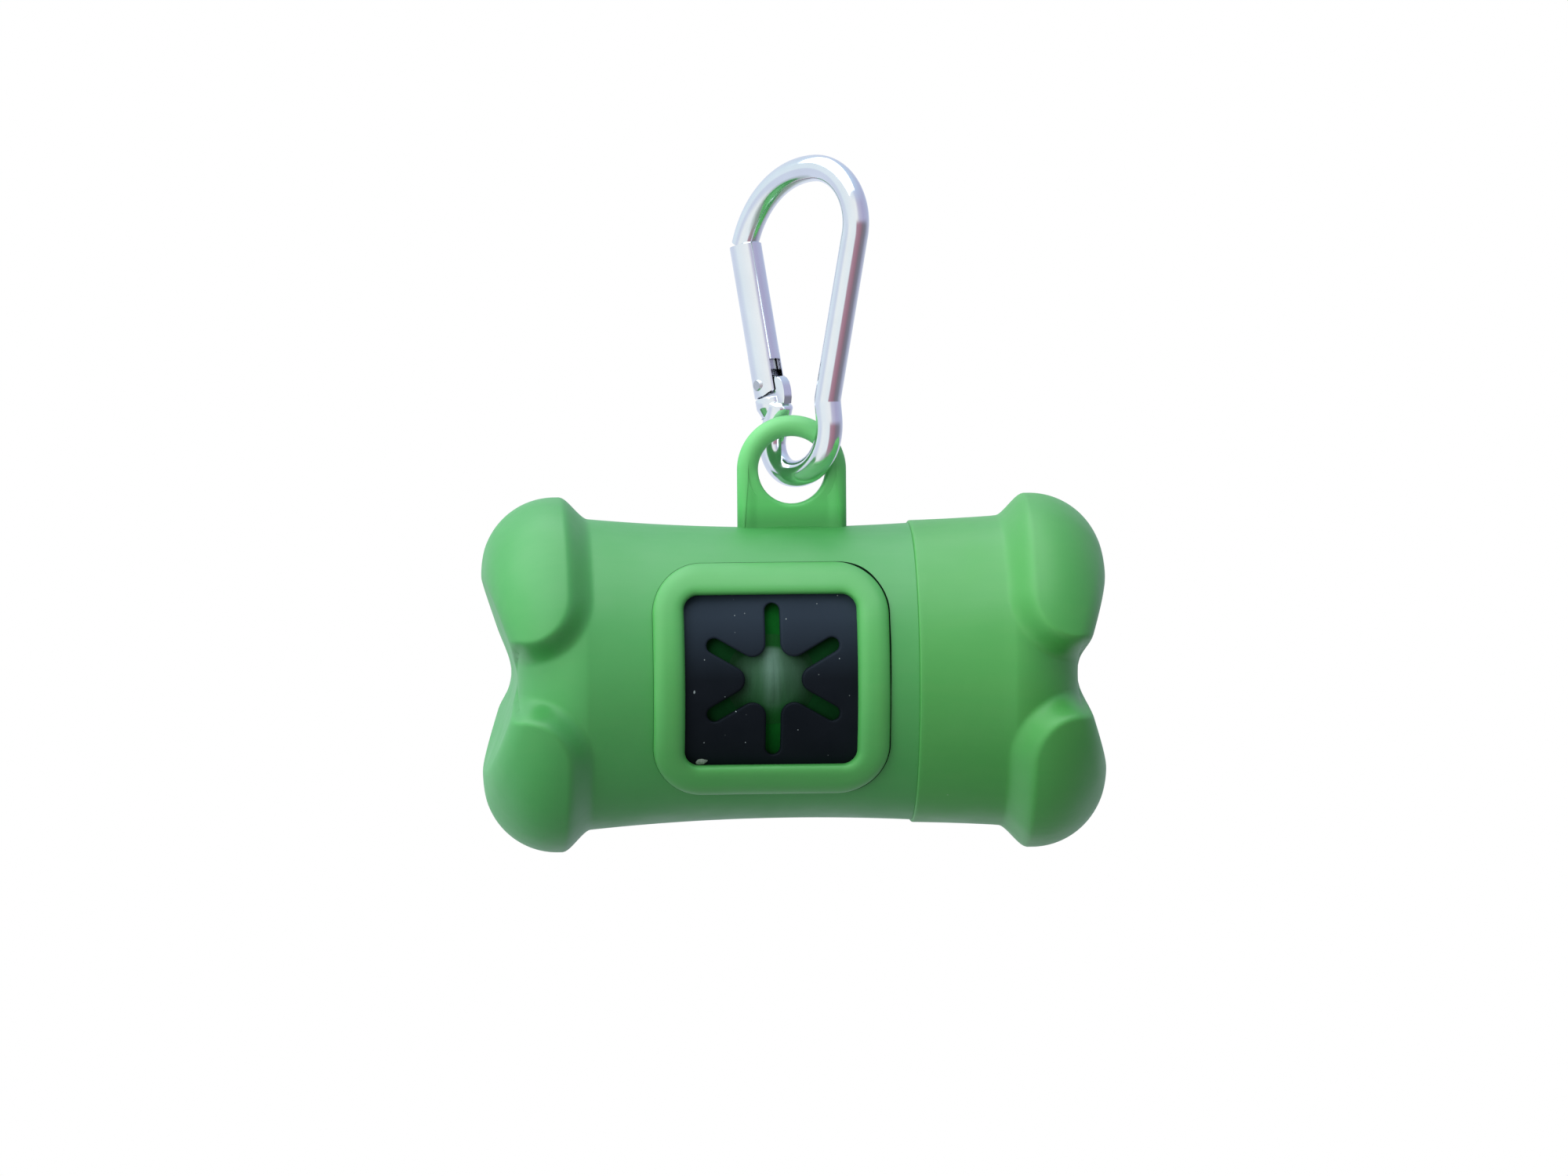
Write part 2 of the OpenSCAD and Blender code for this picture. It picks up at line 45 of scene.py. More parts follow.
# ---------------------------------------------------------------- sizes in mm, as in the CAD source
HALF = 40.0
WAIST_R, FLARE, LOBE_R, LOBE_ROUND = 18.6, 1.2, 22.7, 9.3
PAD_X, PAD_Z = HALF - 4.6, 10.9
END_X = HALF - 14.5
SHOULDER_X, SHOULDER_Z = HALF - 0.25 - LOBE_ROUND, LOBE_R - LOBE_ROUND
NOTCH_X, NOTCH_ANGLE = HALF - 4.3, math.radians(20)
DOME_R = 8.5
DOME_X = NOTCH_X - DOME_R
CHAMBER_R, CHAMBER_END, CHAMBER_WALL = 16.0, NOTCH_X - 4.9, NOTCH_X - 2.2
CHAMBER_CLOSED = [(CHAMBER_END, CHAMBER_R), (CHAMBER_WALL, CHAMBER_R - 4), (CHAMBER_WALL, 0.01)]
WAIST_ARC = (END_X ** 2 + FLARE ** 2) / (2 * FLARE)
SEAM_X, SEAM_GAP, NECK_LEN, NECK_R, LAND_R, LAND_LEN = 14.7, 0.2, 6.0, 17.0, 17.6, 1.2
CAP_PROUD, SOCKET_R = 0.33, 17.75
OUT_X, FRAME_W, FRAME_CORNER, FRAME_PROUD = -3.9, 30.0, 6.5, 1.3
FIT = 0.1
FLOOR_R = CHAMBER_R + 1.1
RUBBER_IN, RUBBER_OUT = FLOOR_R + 0.15, FLOOR_R + 0.15 + 1.2
SKIRT_W, SKIRT_CORNER, SKIRT_WALL = FRAME_W - 2.8, FRAME_CORNER - 1.4, 1.1
SLOT_W, SLOT_REACH, PETAL_R, HOLE_R = 1.9, 9.6, 1.7, 5.2
TAB_W, TAB_T, TAB_Z = 14.0, 2.7, 25.95
ROLL_D, ROLL_LEN, CORE_D = 26.0, 57.4, 13.0
ROLL_Z = -(CHAMBER_R - 0.3 - ROLL_D / 2)
ROD_D, HOOK_TURN, HOOK_X = 3.4, math.radians(50), 1.085
GATE_D, GATE_WALL = 4.1, 0.5

MOUTH_X = SEAM_X + NECK_LEN

# ---------------------------------------------------------------- sizes in mm, of the looks alone
TURNS, ROD_SIDES, THREAD_TURNS = 540, 56, 300   # points round the housing, the rod and a thread
MERGE_DIST = 2e-7                               # metres
PAD_FOOT, PAD_SLOPE = 9.2, 3.6                  # the pads on the lobes are softer than the solids'
VERTEX_SOFT, EDGE_SOFT = 1.5, 2.1               # and so are the notch and the end face's edges
BODY_FACE, BODY_EDGE = SEAM_X + 0.172, 0.02     # the two sides of the seam: where, and how round
CAP_RIM, CAP_EDGE = SEAM_X + SEAM_GAP - 0.02, 0.27
CUT, CUT_CORNER = 13.95, 5.4                    # opening in the barrel under the bezel
CHAMFER = 0.15                                  # edge of the hole in the recess floor
THREAD_PITCH, THREAD_H, GROOVE_H = 2.2, 0.6, 0.42
BEZEL_BAR, BEZEL_INNER_CORNER = 4.02, 1.9
BEZEL_SCALE, BEZEL_DROP = (1, 0.982), (0, 0.12)
# rise of the bezel's domed bar, as (distance from its outer edge, share of FRAME_PROUD)
BEZEL_SECTION = [(0.0, 0.22), (0.0, 0.35), (0.05, 0.49), (0.15, 0.604), (0.3, 0.706), (0.5, 0.80),
                 (0.8, 0.896), (1.2, 0.968), (1.6, 0.996), (2.0, 1.0), (2.35, 0.996), (2.7, 0.976),
                 (3.1, 0.915), (3.4, 0.82), (3.65, 0.69), (3.85, 0.495), (3.98, 0.205),
                 (BEZEL_BAR, -0.1)]
STAR_SHIFT, STAR_BEVEL = np.array([0.27, 0.0]), 0.34
SCRAP_X, SCRAP_Z, SCRAP_SINK = OUT_X - 8.80, -10.40, 0.10
SKIRT_TOP, SKIRT_LOW, SKIRT_RISE, SKIRT_HALF_SLOT = 3.9, -1.48, 0.63, 0.95

# ---------------------------------------------------------------- path of the hook's rod
# each step is [radius, degrees turned], or [0, length] for a straight run
SPINE_SIDE = [[6.45, 96.8], [0, 1.9], [2.5, -20.8], [0, 21.3], [6.75, 77], [7.65, 28.7],
              [14.3, 69.8], [0, 2.5]]
GATE_SIDE = [[6.45, -6.3], [3.8, -101.7], [0, 3.9]]
TO_APEX = [7.65, 27]                            # share of the top bend up to its highest point
HOOK_LOW = (-0.94, TAB_Z - 0.55)
PIVOT_FROM_NECK = (-0.82, 6.3)


def step(s, g):
    """State (x, y, heading in degrees) after one step of a path."""
    if g[0] == 0:
        a = math.radians(s[2])
        return (s[0] + g[1] * math.cos(a), s[1] + g[1] * math.sin(a), s[2])
    k = 1 if g[1] > 0 else -1
    h0, h1 = math.radians(s[2]), math.radians(s[2] + g[1])
    return (s[0] + k * g[0] * (math.sin(h1) - math.sin(h0)),
            s[1] + k * g[0] * (math.cos(h0) - math.cos(h1)), s[2] + g[1])


def walk(s, path):
    for g in path:
        s = step(s, g)
    return s


LOW_R, LOW_L = (*HOOK_LOW, 0), (*HOOK_LOW, 180)
TO_LATCH = SPINE_SIDE[:7]
TIP = walk(LOW_R, TO_LATCH)
NECK = walk(LOW_L, GATE_SIDE[:2])
APEX = step(walk(LOW_R, SPINE_SIDE[:5]), TO_APEX)
PIVOT = (NECK[0] + PIVOT_FROM_NECK[0], NECK[1] + PIVOT_FROM_NECK[1])
GATE_DIR = math.atan2(TIP[1] - PIVOT[1], TIP[0] - PIVOT[0])
GATE_TOP = math.hypot(TIP[1] - PIVOT[1], TIP[0] - PIVOT[0])
CT, ST = math.cos(HOOK_TURN), math.sin(HOOK_TURN)
SHIFT = np.array([-HOOK_X - APEX[0] * CT, APEX[0] * ST, -(APEX[1] - ROD_D / 2)])


def in_frame(p):
    """Housing coordinates in mm to the shared frame in metres."""
    return (np.asarray(p, float) + SHIFT) * MM


def hook_plane(p):
    """(u, v, n) in the hook's plane to housing coordinates."""
    p = np.asarray(p, float)
    u, v, n = p[..., 0], p[..., 1], p[..., 2]
    return np.stack([HOOK_X + u * CT - n * ST, -u * ST - n * CT, v], -1)


def gate_plane(p):
    """Gate coordinates, +Y from hinge to latch, to housing coordinates."""
    p = np.asarray(p, float)
    a = GATE_DIR - math.pi / 2
    c, s = math.cos(a), math.sin(a)
    u = PIVOT[0] + p[..., 0] * c - p[..., 1] * s
    v = PIVOT[1] + p[..., 0] * s + p[..., 1] * c
    return hook_plane(np.stack([u, v, p[..., 2]], -1))


# ---------------------------------------------------------------- small geometry
def circle(n):
    """n angles once round."""
    return np.arange(n) * 2 * math.pi / n


def polar(r, a):
    return np.stack([r * np.cos(a), r * np.sin(a)], -1)


def around(x, r, a):
    """Points round the housing's axis; angle 0 is the front, a quarter turn the top."""
    x, r, a = np.broadcast_arrays(x, r, a)
    return np.stack([x, -r * np.cos(a), r * np.sin(a)], -1)


def turned(profile, turns):
    """Profile points (x, r) turned about the housing's axis, as a grid."""
    p = np.asarray(profile, float)[:, None]
    return around(p[..., 0], p[..., 1], circle(turns))


def bow(x, r):
    """Height of a circle of radius r at x from its middle."""
    return np.sqrt(np.maximum(0, r ** 2 - x ** 2))


def smooth(x, a, b):
    """0 below a, 1 above b, an S between them."""
    t = np.clip((np.asarray(x, float) - a) / (b - a), 0, 1)
    return t * t * (3 - 2 * t)


def joined(arcs, between):
    """Outline of arcs (centre, radius, angles) and straight lines of so many steps between them."""
    arcs = [np.asarray(c) + polar(r, a) for c, r, a in arcs]
    t = np.arange(1, between)[:, None] / between
    return np.vstack([part for arc, after in zip(arcs, arcs[1:] + arcs[:1])
                      for part in (arc, arc[-1] + t * (after[0] - arc[-1]))])


def soft_square(half, corner):
    """Outline of a square with round corners, counter-clockwise from the right."""
    c = half - corner
    quarter = np.linspace(0, math.pi / 2, 21)
    return joined([(mid, corner, q * math.pi / 2 + quarter)
                   for q, mid in enumerate([(c, c), (-c, c), (-c, -c), (c, -c)])], 24)


def soft_in(x, z, half, corner):
    """Inside a square with round corners."""
    qx, qz = np.abs(x) - (half - corner), np.abs(z) - (half - corner)
    return np.where((qx > 0) & (qz > 0), np.hypot(qx, qz) < corner, np.maximum(qx, qz) < corner)


def on_cylinder(xz, r):
    """Points (x, z) from the outlet's middle put on the front of a cylinder round the axis."""
    xz = np.asarray(xz, float)
    return np.stack([OUT_X + xz[..., 0], -np.sqrt(r ** 2 - xz[..., 1] ** 2), xz[..., 1]], -1)


def on_barrel(xz, up=0.0):
    """The same points put on the front of the barrel, or so far above it."""
    return on_cylinder(xz, waist(OUT_X + xz[..., 0]) + up)


def between_loops(inner, outer, r, shares):
    """Loops from the inner to the outer outline, on a cylinder."""
    return [on_cylinder(inner + (outer - inner) * t, r) for t in shares]


# ---------------------------------------------------------------- pieces
class Shape:
    """Collects grids and faces of one piece."""

    def __init__(self):
        self.v, self.f, self.n = [], [], 0

    def add(self, verts, faces):
        verts = np.asarray(verts, float).reshape(-1, 3)
        self.v.append(verts)
        self.f.extend([tuple(i + self.n for i in face) for face in faces])
        self.n += len(verts)

    def grid(self, g, wrap_u=False, wrap_v=True, flip=False, keep=None):
        """g is rows x columns x 3; keep is a mask of its cells."""
        g = np.asarray(g, float)
        m, n = g.shape[:2]
        rows, cols = (m if wrap_u else m - 1), (n if wrap_v else n - 1)
        i, j = np.meshgrid(np.arange(rows), np.arange(cols), indexing="ij")
        if keep is not None:
            i, j = i[keep], j[keep]
        i, j = i.ravel(), j.ravel()
        i2, j2 = (i + 1) % m, (j + 1) % n
        q = np.stack([i * n + j, i * n + j2, i2 * n + j2, i2 * n + j], 1)
        self.add(g, (q[:, ::-1] if flip else q).tolist())

    def fan(self, ring, centre, flip=False):
        n = len(ring)
        faces = [((i + 1) % n, i, n) if flip else (i, (i + 1) % n, n) for i in range(n)]
        self.add(np.vstack([ring, [centre]]), faces)

    def piece(self, name, body, material, replaces=(), angle=40):
        me = bpy.data.meshes.new(name)
        me.from_pydata(in_frame(np.vstack(self.v)).tolist(), [], self.f)
        me.update()
        merge_doubles(me, MERGE_DIST)
        for p in me.polygons:
            p.use_smooth = True
        me.set_sharp_from_angle(angle=math.radians(angle))
        ob = put(name, me)
        ob.data.materials.append(material)
        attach(ob, body)
        if replaces:
            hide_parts(*replaces)


def merge_doubles(me, dist):
    bm = bmesh.new()
    bm.from_mesh(me)
    bmesh.ops.remove_doubles(bm, verts=bm.verts, dist=dist)
    bmesh.ops.dissolve_degenerate(bm, dist=dist, edges=bm.edges)
    bm.to_mesh(me)
    bm.free()


def put(name, data):
    """New object in the scene."""
    ob = bpy.data.objects.new(name, data)
    bpy.context.scene.collection.objects.link(ob)
    return ob


# ---------------------------------------------------------------- shader nodes
class Nodes:
    """Nodes of a material or the world, with a short call for each kind used here."""

    def __init__(self, owner, clear=True):
        owner.use_nodes = True
        self.nodes, self.links = owner.node_tree.nodes, owner.node_tree.links
        if clear:
            self.nodes.clear()

    def feed(self, socket, value):
        """Sets an input to a number, vector or colour, or links an output to it."""
        if isinstance(value, (int, float)):
            socket.default_value = value
        elif isinstance(value, tuple):
            socket.default_value = (*value, 1)[:len(socket.default_value)]
        else:
            self.links.new(value, socket)

    def node(self, kind, inputs=(), **settings):
        made = self.nodes.new("ShaderNode" + kind)
        for key, value in settings.items():
            setattr(made, key, value)
        for key, value in dict(inputs).items():
            self.feed(made.inputs[key], value)
        return made

    def math(self, op, *values):
        return self.node("Math", enumerate(values), operation=op).outputs[0]

    def product(self, *masks):
        out = masks[0]
        for m in masks[1:]:
            out = self.math("MULTIPLY", out, m)
        return out

    def length(self, a, b):
        return self.math("SQRT", self.math("ADD", self.product(a, a), self.product(b, b)))

    def within(self, value, limit):
        """1 where value is less than limit either way from 0."""
        return self.math("LESS_THAN", self.math("ABSOLUTE", value), limit)

    def coords(self, scale=(1, 1, 1), rot=(0, 0, 0)):
        """The mesh's own coordinates in metres, turned and scaled."""
        place = self.node("TexCoord").outputs["Object"]
        return self.node("Mapping", {"Vector": place, "Scale": scale, "Rotation": rot}).outputs[0]

    def from_outlet(self):
        """Distances in metres from the middle of the outlet, along the housing's axes."""
        place = self.node("SeparateXYZ", {0: self.node("TexCoord").outputs["Object"]}).outputs
        return [self.math("SUBTRACT", place[axis], float(v))
                for axis, v in zip("XYZ", in_frame((OUT_X, 0, 0)))]

    def noise(self, vec, scale, detail, rough, distortion=0.0):
        return self.node("TexNoise", {"Vector": vec, "Scale": scale, "Detail": detail,
                                      "Roughness": rough, "Distortion": distortion}).outputs["Fac"]

    def ramp(self, fac, *stops):
        """Stops are (position, value or colour)."""
        made = self.node("ValToRGB", {"Fac": fac})
        els = made.color_ramp.elements
        while len(els) < len(stops):
            els.new(0.5)
        for e, (p, c) in zip(els, stops):
            e.position = p
            e.color = (c, c, c, 1) if isinstance(c, (int, float)) else (*c, 1)
        return made.outputs["Color"]

    def mix(self, fac, a, b, kind="MIX"):
        return self.node("Mix", {"Factor": fac, "A": a, "B": b}, data_type="RGBA",
                         blend_type=kind).outputs["Result"]

    def blend(self, fac, a, b):
        """Mix of two shaders."""
        return self.node("MixShader", {"Fac": fac, 1: a, 2: b}).outputs[0]

    def specks(self, vec, scale, size, share, dims="3D"):
        """Rare round specks: up to 1 on a speck, 0 elsewhere."""
        cell = self.node("TexVoronoi", {"Vector": vec, "Scale": scale}, voronoi_dimensions=dims)
        draw = self.node("SeparateColor", {"Color": cell.outputs["Color"]}).outputs
        return self.product(self.math("LESS_THAN", cell.outputs["Distance"], size),
                            self.math("LESS_THAN", draw["Red"], share), draw["Green"])


class Look(Nodes):
    """A material with one Principled surface."""

    def __init__(self, name, **values):
        self.material = bpy.data.materials.new(name)
        super().__init__(self.material, clear=False)
        self.surface = self.nodes["Principled BSDF"]
        self.normal = None
        self.set(**values)

    def set(self, **values):
        """Inputs of the surface by name, with _ for a space."""
        for key, value in values.items():
            self.feed(self.surface.inputs[key.replace("_", " ")], value)

    def bump(self, height, strength, distance):
        """One more bump over those before it."""
        inputs = {"Height": height, "Strength": strength, "Distance": distance}
        if self.normal is not None:
            inputs["Normal"] = self.normal
        self.normal = self.node("Bump", inputs).outputs["Normal"]
        self.set(Normal=self.normal)


# ---------------------------------------------------------------- materials
def recess_shade_mask(t, x, y, z):
    """1 on the housing's floor under the rubber sheet, where the plastic is painted a dark green
    shade.
    """
    r = t.length(y, z)
    return t.product(t.within(x, SKIRT_W / 2 * MM), t.math("LESS_THAN", r, (FLOOR_R + 0.06) * MM),
                     t.math("GREATER_THAN", r, (CHAMBER_R + 0.1) * MM),
                     t.math("LESS_THAN", y, -6 * MM))


def make_plastic(name, tint=(1.0, 1.0, 1.0), housing=False):
    """Satin moulded green with faint clouds, flow lines and specks; on the housing also painted
    light on the thin tab and painted shade on the recess floor.
    """
    t = Look(name, IOR=1.49, Specular_IOR_Level=0.75, Subsurface_Weight=0.10,
             Subsurface_Radius=(0.25, 1.0, 0.30), Subsurface_Scale=0.0011)
    vec = t.coords()

    def green(*colour):
        return tuple(c * k for c, k in zip(colour, tint))
    tone = t.ramp(t.noise(vec, 55, 3, 0.6), (0.30, green(0.052, 0.335, 0.074)),
                  (0.70, green(0.064, 0.362, 0.088)))
    flow = t.noise(t.coords((14, 90, 90)), 6, 2, 0.5, 0.8)
    tone = t.mix(t.ramp(flow, (0.42, 0.0), (0.72, 0.25)), tone, green(0.076, 0.362, 0.092))
    if housing:
        x, y, z = t.from_outlet()
        height = t.math("MULTIPLY", z, 20.0)                     # 1 at 50 mm over the axis
        # painted light: the thin tab lets light through, so it is painted paler than the thick wall,
        # and paler still towards its top
        thin = t.product(t.ramp(height, (0.386, 0.0), (0.43, 1.0)), t.within(y, 2 * MM),
                         t.within(t.math("ADD", x, OUT_X * MM), (TAB_W / 2 + 1) * MM))
        tone = t.mix(thin, tone, t.ramp(height, (0.40, (0.085, 0.52, 0.12)),
                                        (0.62, (0.17, 0.60, 0.20))))
        # painted shade: the floor of the recess under the rubber is painted dark green
        tone = t.mix(recess_shade_mask(t, x, y, z), tone, (0.005, 0.075, 0.010))
    dark = t.specks(vec, 230, 0.05, 0.05)
    tone = t.mix(t.math("MULTIPLY", dark, 0.75), tone, (0.03, 0.09, 0.05))
    pale = t.specks(t.coords(rot=(0.4, 0.7, 0.2)), 420, 0.045, 0.03)
    tone = t.mix(t.math("MULTIPLY", pale, 0.55), tone, (0.35, 0.55, 0.36))
    t.set(Base_Color=tone, Roughness=t.ramp(t.noise(vec, 120, 4, 0.6), (0.3, 0.41), (0.7, 0.52)))
    t.bump(t.noise(vec, 900, 4, 0.6), 0.11, 0.00006)
    t.bump(t.noise(vec, 160, 2, 0.5), 0.10, 0.00022)
    return t.material


def make_rubber():
    """Near-black rubber with a painted bluish sheen on the upper petals, dust and lint."""
    t = Look("black_rubber", IOR=1.5, Specular_IOR_Level=0.12, Specular_Tint=(0.70, 0.86, 1.0))
    vec = t.coords()
    tone = t.ramp(t.noise(vec, 150, 4, 0.6), (0.3, (0.0030, 0.0046, 0.0070)),
                  (0.75, (0.0062, 0.0084, 0.0122)))
    # painted sheen: the upper petals are painted a paler bluish grey for the light from above
    upper_sheen = t.ramp(t.from_outlet()[2], (0.0, 0.0), (0.0085, 1.0))
    tone = t.mix(upper_sheen, tone, (0.0225, 0.0335, 0.0500))
    dust = t.specks(t.coords(rot=(math.pi / 2, 0, 0)), 760, 0.055, 0.09, "2D")
    lint = t.specks(t.coords((1, 1, 0.5), (math.pi / 2, 0.3, 0)), 430, 0.045, 0.07, "2D")
    tone = t.mix(t.math("MAXIMUM", dust, lint), tone, (0.36, 0.42, 0.44))
    t.set(Base_Color=tone, Roughness=t.ramp(t.noise(vec, 260, 3, 0.6), (0.3, 0.48), (0.7, 0.60)))
    t.bump(t.noise(vec, 1400, 3, 0.6), 0.12, 0.00005)
    return t.material


def make_film():
    """Wound film with creases round the roll."""
    t = Look("bag_film", Roughness=0.30, IOR=1.5, Subsurface_Weight=0.35,
             Subsurface_Radius=(0.6, 1.0, 0.7), Subsurface_Scale=0.002)
    creases = t.noise(t.coords((420, 60, 60)), 1, 4, 0.62, 1.1)
    t.set(Base_Color=t.ramp(creases, (0.25, (0.105, 0.235, 0.155)), (0.75, (0.185, 0.32, 0.235))))
    t.bump(creases, 0.5, 0.0006)
    t.bump(t.noise(t.coords((1500, 160, 160)), 1, 3, 0.6, 0.4), 0.35, 0.00015)
    return t.material


def shaded_floor_green(t, x):
    """Painted shade: the recess floor's green, darkened for the shade behind the rubber and darker
    still towards the sides, where the slot walls shade it.
    """
    side = t.ramp(t.math("MULTIPLY", t.math("ABSOLUTE", x), 100.0), (0.12, 0.0), (0.40, 1.0))
    return t.mix(side, (0.007, 0.115, 0.016), (0.0065, 0.050, 0.013))


def make_drawn_film():
    """Thin film over the green floor: pale and cloudy where it stands off, green where it clings;
    the pale part carries a painted highlight in a soft vertical stripe down its middle and grows
    paler towards the top, and the green is the floor's painted shade, darkened further.
    """
    t = Look("drawn_film", Roughness=0.5, IOR=1.5, Specular_IOR_Level=0.08)
    x, _, z = t.from_outlet()
    up, across = (t.math("MULTIPLY_ADD", v, 100.0, 0.5) for v in (z, x))     # 0 to 1 over 10 mm
    arch = t.math("MULTIPLY", t.product(x, x), 9000.0)
    top = t.ramp(t.math("ADD", up, arch), (0.885, 1.0), (0.93, 0.0))
    fade = t.ramp(up, (0.0, 0.0), (0.12, 0.16), (0.22, 0.36), (0.42, 0.66), (0.62, 1.0))
    # painted highlight: a soft vertical stripe down the middle of the film is painted paler
    highlight_band = t.ramp(across, (0.16, 0.22), (0.33, 0.34), (0.39, 0.52), (0.46, 1.0), (0.56, 0.96),
                  (0.65, 0.55), (0.82, 0.30))
    clings = t.ramp(t.math("MULTIPLY", t.length(x, z), 100.0), (0.33, 1.0), (0.52, 0.0))
    wisps = t.noise(t.coords((1500, 90, 90)), 1, 4, 0.62, 0.8)
    milky_and_highlight = t.product(top, fade, highlight_band, clings, t.ramp(wisps, (0.3, 0.80), (0.7, 1.0)))
    # painted shade: the floor's shaded green, darkened more under the film
    green = t.mix(1.0, shaded_floor_green(t, x), (0.6, 0.6, 0.6), "MULTIPLY")
    t.set(Base_Color=t.mix(milky_and_highlight, green, (0.125, 0.235, 0.180)))
    t.bump(wisps, 0.35, 0.00015)
    return t.material


def make_painted_shade(name, tone=None):
    """A surface without highlights, for painted shade: the recess floor's shaded green, or the tone
    that is given.
    """
    t = Look(name, Roughness=0.95, Specular_IOR_Level=0.0)
    cloud = t.ramp(t.noise(t.coords(), 420, 4, 0.65), (0.3, 0.75), (0.7, 1.0))
    tone = tone or shaded_floor_green(t, t.from_outlet()[0])
    t.set(Base_Color=t.mix(1.0, tone, cloud, "MULTIPLY"))
    return t.material


def make_scrap():
    t = Look("scrap", Roughness=0.6)
    t.set(Base_Color=t.ramp(t.noise(t.coords(), 2500, 4, 0.7), (0.3, (0.10, 0.15, 0.11)),
                            (0.7, (0.27, 0.34, 0.28))))
    return t.material


def make_card():
    """Grey-brown card with the spiral seam of its winding."""
    t = Look("wound_card", Roughness=0.85)
    fibre = t.noise(t.coords((1, 3, 3)), 700, 5, 0.7)
    tone = t.ramp(fibre, (0.3, (0.33, 0.245, 0.155)), (0.7, (0.47, 0.36, 0.24)))
    wave = t.node("TexWave", {"Vector": t.coords((1, 1.2, 1.2), (0, 0.9, 0.3)), "Scale": 28,
                              "Distortion": 0.2})
    seam = t.ramp(wave.outputs["Fac"], (0.0, 0.55), (0.03, 0.0))
    t.set(Base_Color=t.mix(seam, tone, (0.2, 0.14, 0.09)))
    t.bump(fibre, 0.3, 0.00008)
    return t.material


def make_metal(name, base, rough, marks):
    t = Look(name, Metallic=1.0)
    vec = t.coords()
    t.set(Base_Color=t.ramp(t.noise(vec, 260, 3, 0.6), (0.3, tuple(0.955 * c for c in base)),
                            (0.7, base)),
          Roughness=t.ramp(t.noise(vec, 500, 4, 0.65), (0.35, rough * 0.75), (0.75, rough * 1.5)))
    t.bump(t.noise(t.coords((1, 1, 0.15)), 1500, 3, 0.6), marks, 0.00004)
    t.bump(t.noise(vec, 190, 2, 0.5), 0.06, 0.0003)
    return t.material


BODY_PLASTIC = make_plastic("housing_plastic", housing=True)
CAP_PLASTIC = make_plastic("cap_plastic", (1.10, 1.05, 0.86))
FRAME_PLASTIC = make_plastic("bezel_plastic", (1.35, 1.17, 1.15))
RUBBER = make_rubber()
FILM = make_film()
DRAWN_FILM = make_drawn_film()
# painted shade: a dark matt green for the recess floor seen in the slots
FLOOR_SHADE = make_painted_shade("recess_painted_shade")
# painted shadow: a near-black green for the frame's shadow in the joint
JOINT_SHADOW = make_painted_shade("joint_painted_shadow", (0.004, 0.016, 0.007))
SCRAP = make_scrap()
CARD = make_card()
CHROME = make_metal("plated_wire", (0.83, 0.855, 0.885), 0.11, 0.06)
STEEL = make_metal("bare_steel", (0.56, 0.57, 0.60), 0.28, 0.15)


# ---------------------------------------------------------------- housing surface
def waist(x):
    """Radius of the waisted barrel."""
    x = np.minimum(np.abs(x), END_X + 2)
    return WAIST_R + WAIST_ARC - np.sqrt(WAIST_ARC ** 2 - x ** 2)


DOME_Z = float(waist(DOME_X)) - DOME_R


def barrel_r(x):
    """The barrel with its domed end."""
    return np.where(x < DOME_X, waist(x), DOME_Z + bow(x - DOME_X, DOME_R))


def envelope_r(x):
    """The round body that the lobes are cut from."""
    return np.where(x < SHOULDER_X, LOBE_R, SHOULDER_Z + bow(x - SHOULDER_X, LOBE_ROUND))


def pad_share(x, z):
    """How much of the way from the barrel to the envelope the pads rise."""
    d = np.hypot(np.maximum(0, PAD_X - x), np.maximum(0, PAD_Z - np.abs(z)))
    t = np.clip((PAD_FOOT - d) / PAD_SLOPE, 0, 1)
    return t * (0.1 + t * (2.7 - 1.8 * t))


def end_field(x, r, z):
    """Less than 0 inside the lobed end."""
    low, high = barrel_r(x), envelope_r(x)
    side = r - low - pad_share(x, z) * (high - low)
    face_x = NOTCH_X + math.tan(NOTCH_ANGLE) * (np.hypot(z, VERTEX_SOFT) - VERTEX_SOFT)
    face = (x - face_x) * math.cos(NOTCH_ANGLE)
    soft = np.maximum(0, EDGE_SOFT - np.abs(side - face)) ** 2 / (4 * EDGE_SOFT)
    return np.maximum(side, face) + soft


def lobed_rows():
    """Rows of the lobed end, from the barrel's last section to the tip, X outward."""
    tilt = np.radians(np.linspace(90, 0.7, 126))[:, None]
    turn = circle(TURNS)[None, :]
    along, out = np.cos(tilt), np.sin(tilt)
    lo, hi = np.full((len(tilt), TURNS), 6.0), np.full((len(tilt), TURNS), 40.0)
    for _ in range(34):                                # halves the way to the surface on each ray
        m = (lo + hi) / 2
        outside = end_field(END_X + m * along, m * out, m * out * np.sin(turn)) > 0
        hi, lo = np.where(outside, m, hi), np.where(outside, lo, m)
    m = (lo + hi) / 2
    return around(END_X + m * along, m * out, turn)


LOBES = lobed_rows()


def lip(x, low, top, edge, way, turns):
    """Profile of an open end at x: up its face, then round its edge to the wall on that side."""
    return [(x, low), (x, top - edge)] + \
           [(x + way * edge * (1 - math.sin(a)), top - edge * (1 - math.cos(a)))
            for a in np.radians(turns)]


def threaded(xs, r, height, start, turns):
    """Wall of radius r with a helical ridge that runs out at both ends."""
    x, a = np.meshgrid(xs, circle(THREAD_TURNS), indexing="ij")
    k, w = (x - start) / THREAD_PITCH, a / (2 * math.pi)
    n = np.round(k - w)
    ridge = np.clip((0.62 - np.abs(k - w - n) * THREAD_PITCH) / 0.34, 0, 1)
    ends = np.clip((n + w) / 0.08, 0, 1) * np.clip((turns - n - w) / 0.08, 0, 1)
    return around(x, r + height * (ridge * ridge * (3 - 2 * ridge) * ends), a)


